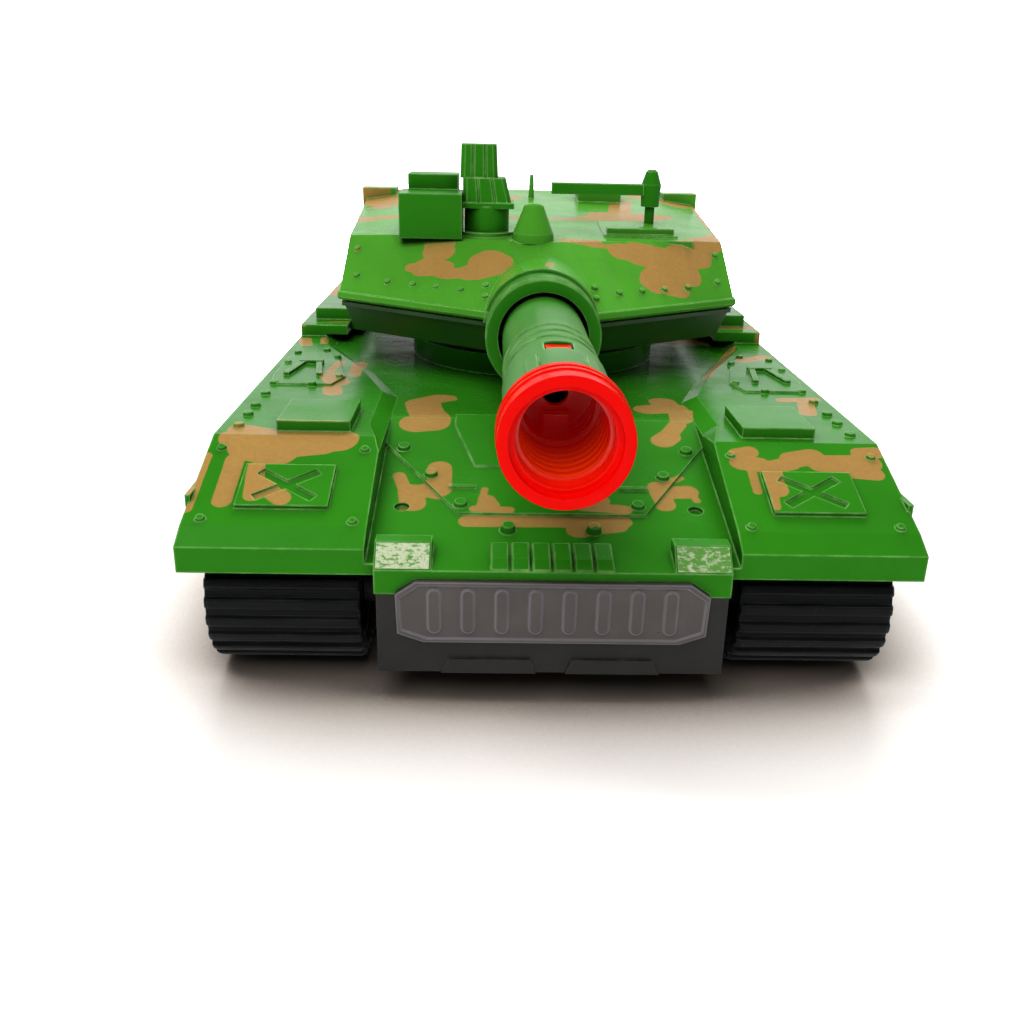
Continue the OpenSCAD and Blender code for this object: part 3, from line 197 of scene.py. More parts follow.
def glossy_green(name, strokes=(), side_camo=0.0, flank_x=0.0, base=GREEN, rough=0.2, seed=0.0, sheen=0.22):
    """Moulded green plastic with pad-printed tan camouflage, painted shade in corners and under parts, and
    paler edges that are partly wear and partly painted highlight.
    """
    n = Nodes(name)
    pos = n.coords()
    normal, edge = n.edge(0.6)
    geo = n.node("ShaderNodeNewGeometry").outputs["Normal"]
    up = n.node("ShaderNodeSeparateXYZ", {0: geo}).outputs[2]
    sep = n.node("ShaderNodeSeparateXYZ", {0: pos})
    broad = n.noise(pos, 0.03, 3.0)
    fine = n.noise(pos, 0.9, 4.0)
    colour = n.mix(n.ramp(broad, 0.35, 0.7), base, tuple(c * 0.86 for c in base))
    tan = n.mix(n.ramp(fine, 0.3, 0.75), TAN, tuple(c * 0.88 for c in TAN))
    mask = None
    if strokes:
        wobble = n.math("MULTIPLY", n.math("SUBTRACT", n.noise(pos, 0.35, 2.0), 0.5), 0.3)
        mask = n.math("MULTIPLY", capsule_mask(n, pos, strokes, wobble), n.ramp(up, 0.25, 0.4))
    if side_camo:
        shifted = n.vmath("ADD", n.vmath("MULTIPLY", pos, (0.4, 1.0, 1.9)), (seed, seed * 2.0, 0.0))
        blobs = n.ramp(n.noise(shifted, 0.028, 1.0, 0.4), side_camo - 0.006, side_camo + 0.006)
        outer = n.ramp(n.math("ABSOLUTE", sep.outputs[0]), flank_x - 0.5, flank_x + 0.5)
        outer = n.math("MULTIPLY", outer, n.ramp(sep.outputs[1], 18.0, 22.0))
        outer = n.math("MAXIMUM", outer, n.ramp(sep.outputs[1], 208.0, 210.0))
        walls = n.math("MULTIPLY", n.ramp(up, 0.3, 0.2), outer)
        rear = n.math("MULTIPLY", n.ramp(sep.outputs[1], 148.0, 152.0), n.ramp(sep.outputs[2], 89.2, 88.8))
        where = n.math("MAXIMUM", walls, n.math("MULTIPLY", rear, n.ramp(up, 0.25, 0.4)))
        blobs = n.math("MULTIPLY", blobs, where)
        mask = blobs if mask is None else n.math("MAXIMUM", mask, blobs)
    if mask is not None:
        colour = n.mix(mask, colour, tan)
    worn = n.math("MULTIPLY", edge, n.ramp(n.noise(pos, 0.25, 4.0), 0.35, 0.75, 0.35, 0.9))
    # painted shade: the colour darkens towards about a third of the base in corners, creases and under
    # parts, from ambient occlusion
    colour = n.mix(n.ramp(n.crevice(6.0), 0.35, 0.95), tuple(c * 0.36 for c in base), colour)
    # paler edges: partly wear, partly a painted highlight along the rounded edges
    colour = n.mix(worn, colour, (0.30, 0.66, 0.19))
    smudge = n.noise(pos, 0.07, 5.0, 0.6)
    roughness = n.math("ADD", rough, n.ramp(smudge, 0.3, 0.75, -0.05, 0.09))
    roughness = n.math("ADD", roughness, n.math("MULTIPLY", fine, 0.05))
    if mask is not None:
        roughness = n.math("ADD", roughness, n.math("MULTIPLY", mask, 0.08))
    waves = n.math("ADD", n.noise(pos, 0.055, 2.0), n.math("MULTIPLY", fine, 0.05))
    if mask is not None:
        waves = n.math("ADD", waves, n.math("MULTIPLY", mask, 0.02))
    bump = n.bump(waves, 0.9, 0.35, normal)
    facing = n.node("ShaderNodeLayerWeight", {"Blend": 0.5}).outputs["Facing"]
    gloss = n.math("MULTIPLY", n.ramp(facing, 0.55, 0.85, 0.0, sheen), n.ramp(up, 0.0, 0.7))
    return n.finish(Base_Color=colour, Roughness=roughness, Normal=bump, IOR=1.5,
                    Specular_IOR_Level=n.math("ADD", gloss, 0.04))


def plain_plastic(name, colour, rough=0.4, coat=0.0, wear=(0.3, 0.3, 0.3), wear_amount=0.3):
    """Moulded plastic with fine texture, cloudy roughness and paler edges."""
    n = Nodes(name)
    pos = n.coords()
    normal, edge = n.edge(0.3)
    cloud = n.noise(pos, 0.08, 4.0)
    fine = n.noise(pos, 2.2, 3.0)
    base = n.mix(n.ramp(cloud, 0.3, 0.7), colour, tuple(c * 0.8 for c in colour))
    worn = n.math("MULTIPLY", edge, n.ramp(n.noise(pos, 0.4, 4.0), 0.35, 0.75, 0.0, wear_amount))
    base = n.mix(worn, base, wear)
    roughness = n.ramp(cloud, 0.25, 0.8, rough - 0.06, rough + 0.1)
    bump = n.bump(fine, 0.08, 0.25, normal)
    return n.finish(Base_Color=base, Roughness=roughness, Normal=bump, Coat_Weight=coat,
                    Coat_Roughness=0.15, Specular_IOR_Level=0.3)


def metal(name, colour, rough=0.25):
    """Drawn or turned metal: long fine streaks and a little tarnish."""
    n = Nodes(name)
    pos = n.coords()
    normal, edge = n.edge(0.15)
    lines = n.noise(n.vmath("MULTIPLY", pos, (40.0, 1.0, 1.0)), 0.6, 4.0)
    cloud = n.noise(pos, 0.2, 4.0)
    base = n.mix(n.ramp(cloud, 0.35, 0.75), colour, tuple(c * 0.6 for c in colour))
    base = n.mix(n.math("MULTIPLY", edge, 0.4), base, tuple(min(1.0, c * 1.3) for c in colour))
    roughness = n.ramp(lines, 0.3, 0.7, rough - 0.08, rough + 0.15)
    return n.finish(Base_Color=base, Metallic=1.0, Roughness=roughness,
                    Normal=n.bump(lines, 0.02, 0.3, normal))


def red_muzzle():
    """Clear-red moulding: deep glossy red outside; inside the bore painted light, an orange patch low at
    the front, with painted shade deeper in and in the ring grooves; the whole part emits a faint red light.
    """
    n = Nodes("red_muzzle")
    pos = n.coords()
    normal, edge = n.edge(0.4)
    low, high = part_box("muzzle_insert")
    centre = (low + high) / 2.0 / MM + Vector((0.0, NOSE_TO_MIDDLE, 0.0))
    rel = n.vmath("SUBTRACT", pos, tuple(centre))
    sep = n.node("ShaderNodeSeparateXYZ", {0: rel})
    flat = n.node("ShaderNodeCombineXYZ", {0: sep.outputs[0], 2: sep.outputs[2]}).outputs[0]
    radius = n.vmath("LENGTH", flat, out=1)
    inside = n.ramp(radius, 9.2, 7.6)
    rings = n.math("SINE", n.math("MULTIPLY", sep.outputs[1], 2.2))
    shallow = n.ramp(sep.outputs[1], 9.0, -6.0)
    # painted light: orange patch low in the front of the bore
    painted_glow = n.math("MULTIPLY", n.math("MULTIPLY", inside, shallow), n.ramp(sep.outputs[2], 3.0, -7.0))
    # painted shade: darker red deeper inside the bore
    deep = n.math("MULTIPLY", inside, n.ramp(sep.outputs[1], -7.0, 7.0))
    base = n.mix(deep, (0.78, 0.0008, 0.0002), (0.34, 0.0, 0.0))
    base = n.mix(painted_glow, base, (0.80, 0.030, 0.001))
    # painted shade: darker red in the ring grooves inside the bore
    groove = n.math("MULTIPLY", inside, n.ramp(rings, 0.0, -0.9, 0.0, 0.6))
    base = n.mix(groove, base, (0.30, 0.0, 0.0))
    base = n.mix(n.math("MULTIPLY", edge, 0.35), base, (0.9, 0.02, 0.006))
    swirl = n.noise(n.vmath("MULTIPLY", pos, (1.0, 3.0, 1.0)), 0.25, 3.0)
    relief = n.math("ADD", swirl, n.math("MULTIPLY", n.math("MULTIPLY", rings, inside), 1.6))
    roughness = n.ramp(swirl, 0.3, 0.7, 0.09, 0.2)
    return n.finish(Base_Color=base, Roughness=roughness, IOR=1.49,
                    Normal=n.bump(relief, 0.25, 0.4, normal),
                    Specular_IOR_Level=n.math("ADD", 0.05, n.math("MULTIPLY", inside, 0.6)),
                    # painted light: the whole part emits a little red, more inside the bore and orange in
                    # the lit patch, standing in for light passing through the clear plastic
                    Emission_Color=n.mix(painted_glow, (0.5, 0.0, 0.0), (1.0, 0.05, 0.0)),
                    Emission_Strength=n.math("ADD", 0.10, n.math("MULTIPLY", inside, 0.06)))


def smoked_plate():
    """Smoked translucent plate: grey-brown, soft gloss, faint frosting."""
    n = Nodes("smoked_plate")
    pos = n.coords()
    normal, edge = n.edge(0.75, 8)
    cloud = n.noise(pos, 0.12, 4.0)
    base = n.mix(n.ramp(cloud, 0.3, 0.7), (0.070, 0.058, 0.056), (0.056, 0.047, 0.045))
    # painted highlight: edges paled towards grey-white along the rounded plate and rib edges
    base = n.mix(n.math("MULTIPLY", edge, 0.45), base, (0.30, 0.28, 0.32))
    return n.finish(Base_Color=base, Roughness=n.ramp(cloud, 0.2, 0.8, 0.26, 0.36), IOR=1.5,
                    Normal=n.bump(n.noise(pos, 1.4, 3.0), 0.1, 0.2, normal), Specular_IOR_Level=0.5)


def lamp_foil():
    """Worn reflective print: silver-white flakes with green showing through."""
    n = Nodes("lamp_foil")
    pos = n.coords()
    sep = n.node("ShaderNodeSeparateXYZ", {0: pos})
    left = n.ramp(sep.outputs[0], 5.0, -5.0)
    flakes = n.noise(n.vmath("MULTIPLY", pos, (1.0, 1.6, 1.6)), 0.75, 6.0, 0.72)
    cut = n.math("SUBTRACT", 0.56, n.math("MULTIPLY", left, 0.09))
    silver = n.ramp(n.math("SUBTRACT", flakes, cut), -0.07, 0.06)
    base = n.mix(silver, (0.085, 0.27, 0.035), (0.58, 0.66, 0.44))
    normal, edge = n.edge(0.2)
    base = n.mix(n.math("MULTIPLY", edge, 0.5), base, (0.85, 0.9, 0.8))
    return n.finish(Base_Color=base, Roughness=n.ramp(flakes, 0.3, 0.7, 0.5, 0.22),
                    Metallic=n.math("MULTIPLY", silver, 0.25),
                    Normal=n.bump(flakes, 0.25, 0.6, normal))


def rubber(name):
    """Black track rubber with a dusty bloom, streaks along the bars and scuffed edges."""
    n = Nodes(name)
    pos = n.coords()
    normal, edge = n.edge(0.25)
    streak = n.noise(n.vmath("MULTIPLY", pos, (0.12, 1.0, 1.0)), 0.9, 5.0)
    grain = n.noise(pos, 3.0, 3.0)
    base = n.mix(n.ramp(streak, 0.4, 0.8), RUBBER, (0.008, 0.0085, 0.009))
    base = n.mix(n.math("MULTIPLY", edge, n.ramp(streak, 0.3, 0.7, 0.15, 0.8)), base, (0.055, 0.057, 0.060))
    return n.finish(Base_Color=base, Roughness=n.ramp(streak, 0.3, 0.75, 0.34, 0.56),
                    Specular_IOR_Level=0.11,
                    Normal=n.bump(n.math("ADD", grain, streak), 0.12, 0.4, normal))


def circuit_board():
    n = Nodes("circuit_board")
    pos = n.coords()
    cells = n.node("ShaderNodeTexVoronoi", {"Vector": pos, "Scale": 0.45},
                   feature="DISTANCE_TO_EDGE").outputs[0]
    tracks = n.ramp(cells, 0.09, 0.05)
    sep = n.node("ShaderNodeSeparateXYZ", {0: pos})
    part = n.ramp(sep.outputs[2], 14.7, 14.9)
    base = n.mix(tracks, (0.004, 0.055, 0.016), (0.02, 0.13, 0.05))
    base = n.mix(part, base, (0.02, 0.02, 0.022))
    return n.finish(Base_Color=base, Roughness=0.4, Normal=n.bump(tracks, 0.1, 0.3))


# ------------------------------------------------------------------ camouflage strokes and one painted highlight, millimetres
HULL_CAMO = [
    # left fender
    (-69, 34, -47, 34, 4.6), (-66, 31, -60, 29, 5.0), (-58, 30, -50, 31.5, 3.2),
    (-69.5, 39, -63, 36, 3.4),
    (-68.3, 26, -68.2, 12.6, 2.1), (-63, 23.5, -62, 13, 1.9), (-61, 17, -56, 12.2, 2.2),
    (-74.8, 27, -74.9, 10, 1.3),
    (-71, 41.5, -70.5, 38, 1.6),
    # left deck
    (-52, 116, -51, 92, 1.7), (-56.6, 89, -54.6, 83.5, 3.7), (-55, 78, -54, 72.5, 2.6),
    (-56.5, 108, -58, 94, 1.3),
    (-73, 140, -71, 131, 2.0), (-67, 142, -66, 134, 1.2),
    # right fender
    (42.2, 30.6, 45.2, 31.4, 2.0), (42.4, 27.6, 46.5, 27, 2.5), (44.3, 25, 44.2, 18, 1.0),
    (48.2, 24.5, 48.3, 17, 2.2),
    (47.2, 16, 46.7, 11.5, 0.9), (48.5, 26, 53.2, 27.4, 2.2), (54, 28.8, 59, 30, 2.7),
    (60, 27.6, 71, 28, 2.9),
    (63, 25.2, 71.3, 24.2, 2.1), (70, 31.4, 73.6, 31.8, 2.0),
    # right deck
    (63.5, 72.5, 72, 74, 2.0), (69, 71, 66.5, 60, 2.2), (48, 97, 56, 118, 1.3), (56, 118, 65, 141, 1.5),
    (63, 117, 71, 124, 3.0),
    # glacis left
    (-30.6, 71, -29.4, 64, 4.6), (-31, 72.5, -26.4, 76.8, 3.7), (-24.6, 77.6, -24.2, 76.4, 2.4),
    (-28.6, 61, -27.6, 58, 4.8), (-31.2, 55.2, -27, 56, 4.2), (-33.4, 32.4, -31.4, 26, 1.5),
    (-30.2, 26, -29.6, 21.4, 2.9), (-26.6, 26.8, -24.2, 26, 2.8), (-24.4, 34.9, -24.1, 27, 2.8),
    # glacis middle
    (-14, 26.4, -15, 20, 0.8), (-13.4, 22.4, -12.4, 20.2, 1.7), (-16.2, 18.8, -8.6, 18.6, 1.1),
    (-17.4, 15.1, 15.4, 15.5, 2.1), (5.6, 12.2, 6.8, 12.2, 2.4), (10, 13, 14.4, 13.8, 2.0),
    (7, 20.2, 16.4, 19.2, 1.6), (6, 23, 11.6, 22.6, 1.8),
    # glacis right
    (24.6, 28, 25.4, 22.2, 2.4), (27, 30.2, 30.6, 33, 0.7), (26, 27, 31.2, 27.4, 2.5),
    (31.8, 27, 32.7, 24, 0.9),
    (28.6, 48.6, 30.2, 50.4, 3.0), (31, 52.6, 33.2, 56.4, 2.2), (34.8, 60, 35.6, 66, 3.0),
    (28, 69, 32, 70, 4.2), (32.6, 77, 33, 72, 3.6), (35, 72, 35.5, 66, 2.8),
]
TURRET_CAMO_AND_HIGHLIGHT = [
    # left front
    (-14.4, 106, -13, 104.4, 5.7), (-19, 101.8, -13, 101.4, 3.8), (-27, 103.8, -20, 101.4, 2.2),
    (-32.6, 108.4, -27.4, 106, 3.5), (-36.2, 109.0, -33, 108.6, 1.7), (-29.4, 114.4, -27.6, 113.6, 3.8),
    (-31, 117.4, -25.6, 116.8, 1.8),
    # right front
    (34, 105.6, 38, 106.6, 5.3), (31, 103.6, 32.6, 102.6, 2.8), (24, 115, 34, 113.6, 3.8),
    (40, 111.4, 42, 112.4, 5.3),
    (41, 117, 47, 121, 4.6), (49, 125, 55.6, 134, 4.2), (15.5, 116, 22, 117, 1.0),
    (28, 117.6, 36, 117.4, 2.6),
    (55.4, 140, 56.4, 131, 2.0),
    # roof
    (8, 119, 16, 118, 2.6), (29, 166, 32, 190, 3.8), (58, 150, 60, 205, 2.5), (-50, 176, -40, 184, 5.0),
    (40, 200, 52, 190, 5.0), (-12, 206, -26, 200, 5.0),
    # above the collar: a small tan stroke that is a painted highlight, not camouflage
    (1.8, 87, 2.6, 94, 1.1),
]

# ------------------------------------------------------------------ rubber tracks in mesh code
BAR_PITCH = 3.5
BELT_OUTER = 3.2
WRAP_R = 13.45
WRAP_Z = 18.0
IDLER_Y, SPROCKET_Y = 19.0, 247.0
BELT_WIDTH = 31.7
ARC_STEPS = 44
WHEEL_YS = sorted({round(((a + b) / 2)[1] / MM + NOSE_TO_MIDDLE, 2) for a, b in
                   (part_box(f"road_wheel_left_{i}") for i in range(1, 6))})


def belt_line():
    """Closed inner line of a belt as (y, z) points in mm, every ~0.9 mm, with outward normals."""
    first, last = WHEEL_YS[0] - 6.0, WHEEL_YS[-1] + 6.0
    drop = WRAP_Z - BELT_OUTER

    def tangent(d):
        return math.asin(WRAP_R / math.hypot(d, drop)) - math.atan2(drop, d)

    front, rear = tangent(first - IDLER_Y), tangent(SPROCKET_Y - last)
    pts = []
    for i in range(ARC_STEPS + 1):
        a = math.pi / 2 + (math.pi + front) * i / ARC_STEPS
        pts.append((IDLER_Y + WRAP_R * math.cos(a), WRAP_Z + WRAP_R * math.sin(a)))
    pts += [(first, BELT_OUTER), (last, BELT_OUTER)]
    for i in range(ARC_STEPS + 1):
        a = -math.pi / 2 - rear + (math.pi + rear) * i / ARC_STEPS
        pts.append((SPROCKET_Y + WRAP_R * math.cos(a), WRAP_Z + WRAP_R * math.sin(a)))
    return pts


def resample(pts, n):
    lengths = [math.dist(pts[i], pts[(i + 1) % len(pts)]) for i in range(len(pts))]
    total = sum(lengths)
    out, i, acc = [], 0, 0.0
    for k in range(n):
        t = total * k / n
        while acc + lengths[i] < t:
            acc += lengths[i]
            i += 1
        f = (t - acc) / lengths[i]
        a, b = pts[i], pts[(i + 1) % len(pts)]
        out.append((a[0] + (b[0] - a[0]) * f, a[1] + (b[1] - a[1]) * f))
    return out


def build_track(name, node):
    low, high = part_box(node)
    x0, x1 = low.x / MM, high.x / MM
    side = 1.0 if x0 > 0 else -1.0
    loop = belt_line()
    length = sum(math.dist(a, b) for a, b in zip(loop, loop[1:] + loop[:1]))
    # height of the outer face through one bar: groove, steep flank, flat land, steep flank
    profile = [2.1, 2.1, 2.1, 2.16, 3.06, 3.18, 3.18, 3.18, 3.18, 3.06, 2.16]
    per = len(profile)
    line = resample(loop, round(length / BAR_PITCH) * per)
    count = len(line)
    normals = []
    for i in range(count):
        a, b = line[i - 2], line[(i + 2) % count]
        d = Vector((b[0] - a[0], b[1] - a[1])).normalized()
        normals.append(Vector((d.y, -d.x)))
    # cross section stations across the belt: x inset from the outer edge and drop of the bars
    across = [(0.0, 0.9), (0.25, 0.45), (0.9, 0.0), (4.0, 0.0), (9.0, 0.0), (14.0, 0.0), (15.6, 0.0),
              (16.0, 0.12), (16.4, 0.0), (22.0, 0.0), (27.0, 0.0), (30.6, 0.0), (31.4, 0.4),
              (BELT_WIDTH, 0.8)]
    stretch = (x1 - x0) / BELT_WIDTH
    bm = bmesh.new()
    outer, inner = [], []
    for i in range(count):
        k = i % per
        row_o, row_i = [], []
        for ax, fall in across:
            x = (x1 - ax * stretch) if side > 0 else (x0 + ax * stretch)
            h = profile[k] - fall * (0.5 if profile[k] > 2.4 else 0.2)
            p = Vector(line[i]) + normals[i] * h
            row_o.append(bm.verts.new((x * MM, (p.x - NOSE_TO_MIDDLE) * MM, p.y * MM)))
        for ax in (0.0, 0.5, 31.2, BELT_WIDTH):
            x = (x1 - ax * stretch) if side > 0 else (x0 + ax * stretch)
            lift = 0.25 if ax in (0.0, BELT_WIDTH) else 0.02
            p = Vector(line[i]) + normals[i] * lift
            row_i.append(bm.verts.new((x * MM, (p.x - NOSE_TO_MIDDLE) * MM, p.y * MM)))
        outer.append(row_o)
        inner.append(row_i)
    for i in range(count):
        j = (i + 1) % count
        for row, flip in ((outer, False), (inner, True)):
            for c in range(len(row[i]) - 1):
                quad = [row[i][c], row[i][c + 1], row[j][c + 1], row[j][c]]
                bm.faces.new(quad if flip == (side > 0) else quad[::-1])
        for c, flip in ((0, False), (-1, True)):
            quad = [outer[i][c], outer[j][c], inner[j][c], inner[i][c]]
            bm.faces.new(quad if flip == (side > 0) else quad[::-1])
    bmesh.ops.recalc_face_normals(bm, faces=bm.faces)
    mesh = bpy.data.meshes.new(name)
    bm.to_mesh(mesh)
    bm.free()
    obj = bpy.data.objects.new(name, mesh)
    bpy.context.scene.collection.objects.link(obj)
    obj.data.materials.append(RUBBER_MAT)
    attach(obj, "hull")
    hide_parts(node)
    return obj


# ------------------------------------------------------------------ launcher spring
SPRING_COILS = 8
SPRING_WIRE = 0.38 * MM
SPRING_STEPS = 30
WIRE_SIDES = 8


def build_spring(name, node):
    """Helix with flat end coils, filling the launcher spring's box."""
    low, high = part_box(node)
    centre = (low + high) / 2
    radius = (high.x - low.x) / 2 - SPRING_WIRE
    start, end = low.y + SPRING_WIRE, high.y - SPRING_WIRE
    turns = SPRING_COILS + 2
    bm = bmesh.new()
    rings = []
    for i in range(turns * SPRING_STEPS + 1):
        turn = i / SPRING_STEPS
        rise = min(max(turn - 1.0, 0.0), float(SPRING_COILS)) / SPRING_COILS
        radial = Vector((math.cos(2 * math.pi * turn), 0.0, math.sin(2 * math.pi * turn)))
        flat_lift = min(turn, 1.0) + max(turn - turns + 1.0, 0.0)
        y = start + SPRING_WIRE * 2 * flat_lift + (end - start - SPRING_WIRE * 4) * rise
        middle = Vector((centre.x, y, centre.z)) + radial * radius
        ring = []
        for k in range(WIRE_SIDES):
            b = 2 * math.pi * k / WIRE_SIDES
            offset = radial * math.cos(b) + Vector((0.0, math.sin(b), 0.0))
            ring.append(bm.verts.new(middle + offset * SPRING_WIRE))
        rings.append(ring)
    for a, b in zip(rings, rings[1:]):
        for k in range(WIRE_SIDES):
            j = (k + 1) % WIRE_SIDES
            bm.faces.new((a[k], a[j], b[j], b[k]))
    bm.faces.new(rings[0])
    bm.faces.new(rings[-1])
    bmesh.ops.recalc_face_normals(bm, faces=bm.faces)
    mesh = bpy.data.meshes.new(name)
    bm.to_mesh(mesh)
    bm.free()
    for face in mesh.polygons:
        face.use_smooth = True
    obj = bpy.data.objects.new(name, mesh)
    bpy.context.scene.collection.objects.link(obj)
    obj.data.materials.append(steel)
    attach(obj, "gun")
    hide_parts(node)
    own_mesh(obj)
    return obj


# ------------------------------------------------------------------ materials on the CAD nodes
RUBBER_MAT = rubber("track_rubber")
hull_green = glossy_green("hull_green", HULL_CAMO, 0.575, 73.5, seed=3.0)
turret_green = glossy_green("turret_green", TURRET_CAMO_AND_HIGHLIGHT, 0.575, 50.0, TURRET_GREEN_PAINTED_SHEEN, seed=11.0)
fitting_green = glossy_green("fitting_green", rough=0.3)
barrel_green = glossy_green("barrel_green", base=BARREL_GREEN, rough=0.34, sheen=0.75)
dark_green_painted_shade = plain_plastic("dark_green_painted_shade", DARK_GREEN_PAINTED_SHADE, 0.38, wear=(0.03, 0.12, 0.02), wear_amount=0.5)
black = plain_plastic("black_plastic", BLACK, 0.42, wear=(0.12, 0.11, 0.10), wear_amount=0.5)
wheel_black = plain_plastic("wheel_black", (0.020, 0.020, 0.022), 0.36, wear=(0.12, 0.12, 0.12),
                            wear_amount=0.4)
grey = plain_plastic("grey_plastic", (0.10, 0.10, 0.11), 0.45)
nylon = plain_plastic("white_nylon", (0.62, 0.60, 0.52), 0.4, wear=(0.8, 0.8, 0.75))
wrap = plain_plastic("battery_wrap", (0.01, 0.03, 0.30), 0.22, coat=0.5)
cable = plain_plastic("red_cable", (0.38, 0.010, 0.008), 0.35)
orange = plain_plastic("orange_plastic", (0.75, 0.12, 0.01), 0.25, coat=0.3)
steel = metal("drawn_steel", (0.62, 0.62, 0.64))
brass = metal("turned_brass", (0.72, 0.50, 0.18))
board = circuit_board()
red = red_muzzle()
smoked = smoked_plate()
foil = lamp_foil()

BY_SLOT = {
    "green_plastic": fitting_green, "dark_green_plastic": dark_green_painted_shade, "black_plastic": black,
    "smoked_plastic": smoked, "silver_foil": foil, "black_rubber": RUBBER_MAT, "grey_plastic": grey,
    "steel": steel, "brass": brass, "white_nylon": nylon, "battery_wrap": wrap, "board": board,
    "cable_red": cable, "red_plastic": red, "orange_plastic": orange,
}
SPECIAL = {"hull_upper": hull_green, "turret_upper": turret_green, "barrel": barrel_green}
for part in frame["record"]["subparts"]:
    node, slot = part["node"], part["material_slot"]
    obj = frame["nodes"][node]
    mat = SPECIAL.get(node, BY_SLOT[slot])
    if node.startswith(("road_wheel", "idler", "sprocket")):
        mat = wheel_black
    obj.data.materials.clear()
    obj.data.materials.append(mat)

build_track("rubber_belt_left", "track_left")
build_track("rubber_belt_right", "track_right")
build_spring("coil_spring", "launcher_spring")

# ------------------------------------------------------------------ floor, light, camera
FLOOR_GAIN, FLOOR_FAR_GAIN = 1.12, 9.0
floor_mat = Nodes("studio_floor")
floor_pos = floor_mat.coords()
floor_mat.finish(Base_Color=floor_mat.mix(floor_mat.ramp(floor_mat.noise(floor_pos, 0.01, 3.0), 0.3, 0.7),
                                          (0.84, 0.835, 0.82), (0.80, 0.795, 0.78)), Roughness=0.6)
# the camera sees the floor overexposed, as the table is in bright soft light
reach = floor_mat.vmath("LENGTH", floor_pos, out=1)
gain = floor_mat.ramp(reach, 260.0, 900.0, FLOOR_GAIN, FLOOR_FAR_GAIN)
# painted shadow: where the tank hangs over the floor, ambient occlusion darkens the floor and tints it warm
open_sky = floor_mat.ramp(floor_mat.crevice(52.0, 16), 0.40, 0.90, 0.0, 1.0, smooth=False)
gain = floor_mat.math("MULTIPLY", gain, floor_mat.ramp(open_sky, 0.0, 1.0, 0.10, 1.0, smooth=False))
tint = floor_mat.mix(open_sky, (1.0, 0.84, 0.72), (1.0, 0.985, 0.975))
bright = floor_mat.node("ShaderNodeBsdfDiffuse", {"Color": floor_mat.vmath("SCALE", tint, scale=gain)})
seen = floor_mat.node("ShaderNodeLightPath").outputs["Is Camera Ray"]
both = floor_mat.node("ShaderNodeMixShader", {0: seen, 1: floor_mat.bsdf.outputs[0], 2: bright.outputs[0]})
floor_mat.link(both.outputs[0], floor_mat.out.inputs["Surface"])
bm = bmesh.new()
bmesh.ops.create_grid(bm, x_segments=8, y_segments=8, size=1.6)
floor_mesh = bpy.data.meshes.new("floor")
bm.to_mesh(floor_mesh)
bm.free()
floor = bpy.data.objects.new("floor", floor_mesh)
bpy.context.scene.collection.objects.link(floor)
floor.data.materials.append(floor_mat.mat)

world = bpy.data.worlds.new("studio")
bpy.context.scene.world = world
world.use_nodes = True
sky = world.node_tree
sky_out = sky.nodes["Background"]


def sky_node(kind, ins, **props):
    node = sky.nodes.new(kind)
    for k, v in props.items():
        setattr(node, k, v)
    for k, v in ins.items():
        if isinstance(v, bpy.types.NodeSocket):
            sky.links.new(v, node.inputs[k])
        else:
            node.inputs[k].default_value = v
    return node.outputs[0]


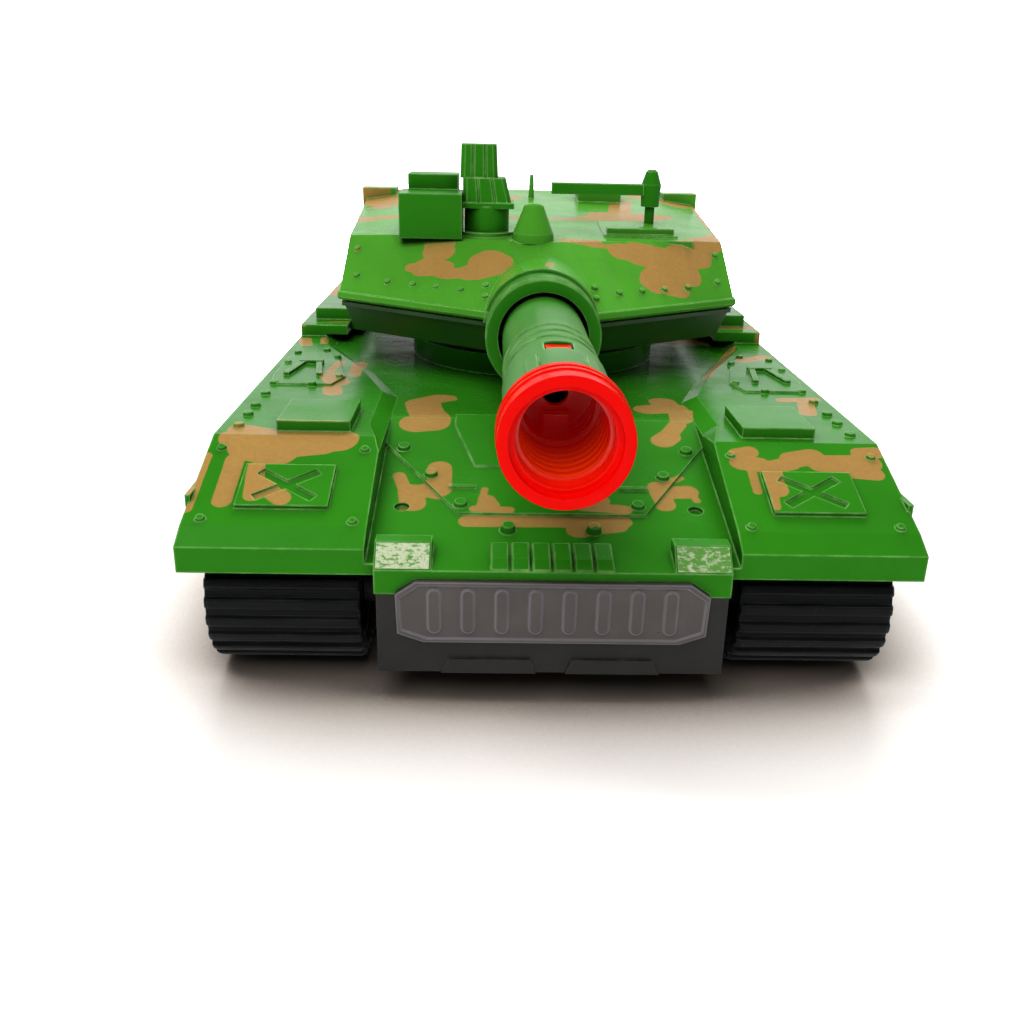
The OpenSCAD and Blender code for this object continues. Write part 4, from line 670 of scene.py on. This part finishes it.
# white backdrop low behind the object, dim room in front and overhead
direction = sky.nodes.new("ShaderNodeTexCoord").outputs["Generated"]
parts = sky.nodes.new("ShaderNodeSeparateXYZ")
sky.links.new(direction, parts.inputs[0])
behind = sky_node("ShaderNodeMapRange", {0: parts.outputs[1], 1: -0.35, 2: 0.45, 3: 0.0, 4: 1.0})
low = sky_node("ShaderNodeMapRange", {0: parts.outputs[2], 1: 0.70, 2: 0.35, 3: 0.0, 4: 1.0})
backdrop = sky_node("ShaderNodeMath", {0: behind, 1: low}, operation="MULTIPLY")
room = sky_node("ShaderNodeMath", {0: backdrop, 1: 0.80, 2: 0.20}, operation="MULTIPLY_ADD")
camera_ray = sky.nodes.new("ShaderNodeLightPath").outputs["Is Camera Ray"]
strength = sky_node("ShaderNodeMath", {0: camera_ray, 1: 1.0, 2: room}, operation="MULTIPLY_ADD")
sky_out.inputs[0].default_value = (1.0, 1.0, 1.0, 1.0)
sky.links.new(strength, sky_out.inputs[1])


def area(name, place, target, size, power, colour=(1.0, 1.0, 1.0), mirrored=True):
    light = bpy.data.lights.new(name, "AREA")
    light.shape = "RECTANGLE"
    light.size, light.size_y = size
    light.energy = power
    light.color = colour
    obj = bpy.data.objects.new(name, light)
    bpy.context.scene.collection.objects.link(obj)
    obj.location = Vector(place) - Vector((0.0, NOSE_TO_MIDDLE * MM, 0.0))
    obj.rotation_euler = (Vector(target) - Vector(place)).to_track_quat("-Z", "Y").to_euler()
    obj.visible_glossy = mirrored


area("key", (-0.20, -0.50, 0.80), (0.0, 0.05, 0.04), (0.7, 0.7), 8.0, (1.0, 0.99, 0.97), mirrored=False)
area("back", (0.05, 0.90, 0.66), (0.0, 0.05, 0.02), (0.9, 0.4), 14.0, mirrored=False)
area("strip", (-0.15, 0.05, 0.55), (0.0, 0.0, 0.06), (0.05, 0.30), 0.5)

cam_data = bpy.data.cameras.new("camera")
cam_data.sensor_width = 36.0
cam_data.lens = 35.4
cam_data.clip_start = 0.01
cam = bpy.data.objects.new("camera", cam_data)
bpy.context.scene.collection.objects.link(cam)
yaw, pitch, roll = (math.radians(v) for v in (1.335, 21.3, 1.283))
forward = Vector((math.sin(yaw) * math.cos(pitch), math.cos(yaw) * math.cos(pitch), -math.sin(pitch)))
right = Vector((math.cos(yaw), -math.sin(yaw), 0.0))
up = right.cross(forward)
cam_right = math.cos(roll) * right + math.sin(roll) * up
cam_up = -math.sin(roll) * right + math.cos(roll) * up
cam.matrix_world = Matrix.Translation((-0.01277, -0.1828 - NOSE_TO_MIDDLE * MM, 0.1132)) @ Matrix(
    (cam_right, cam_up, -forward)).transposed().to_4x4()
bpy.context.scene.camera = cam
bpy.context.scene.view_settings.view_transform = "Standard"
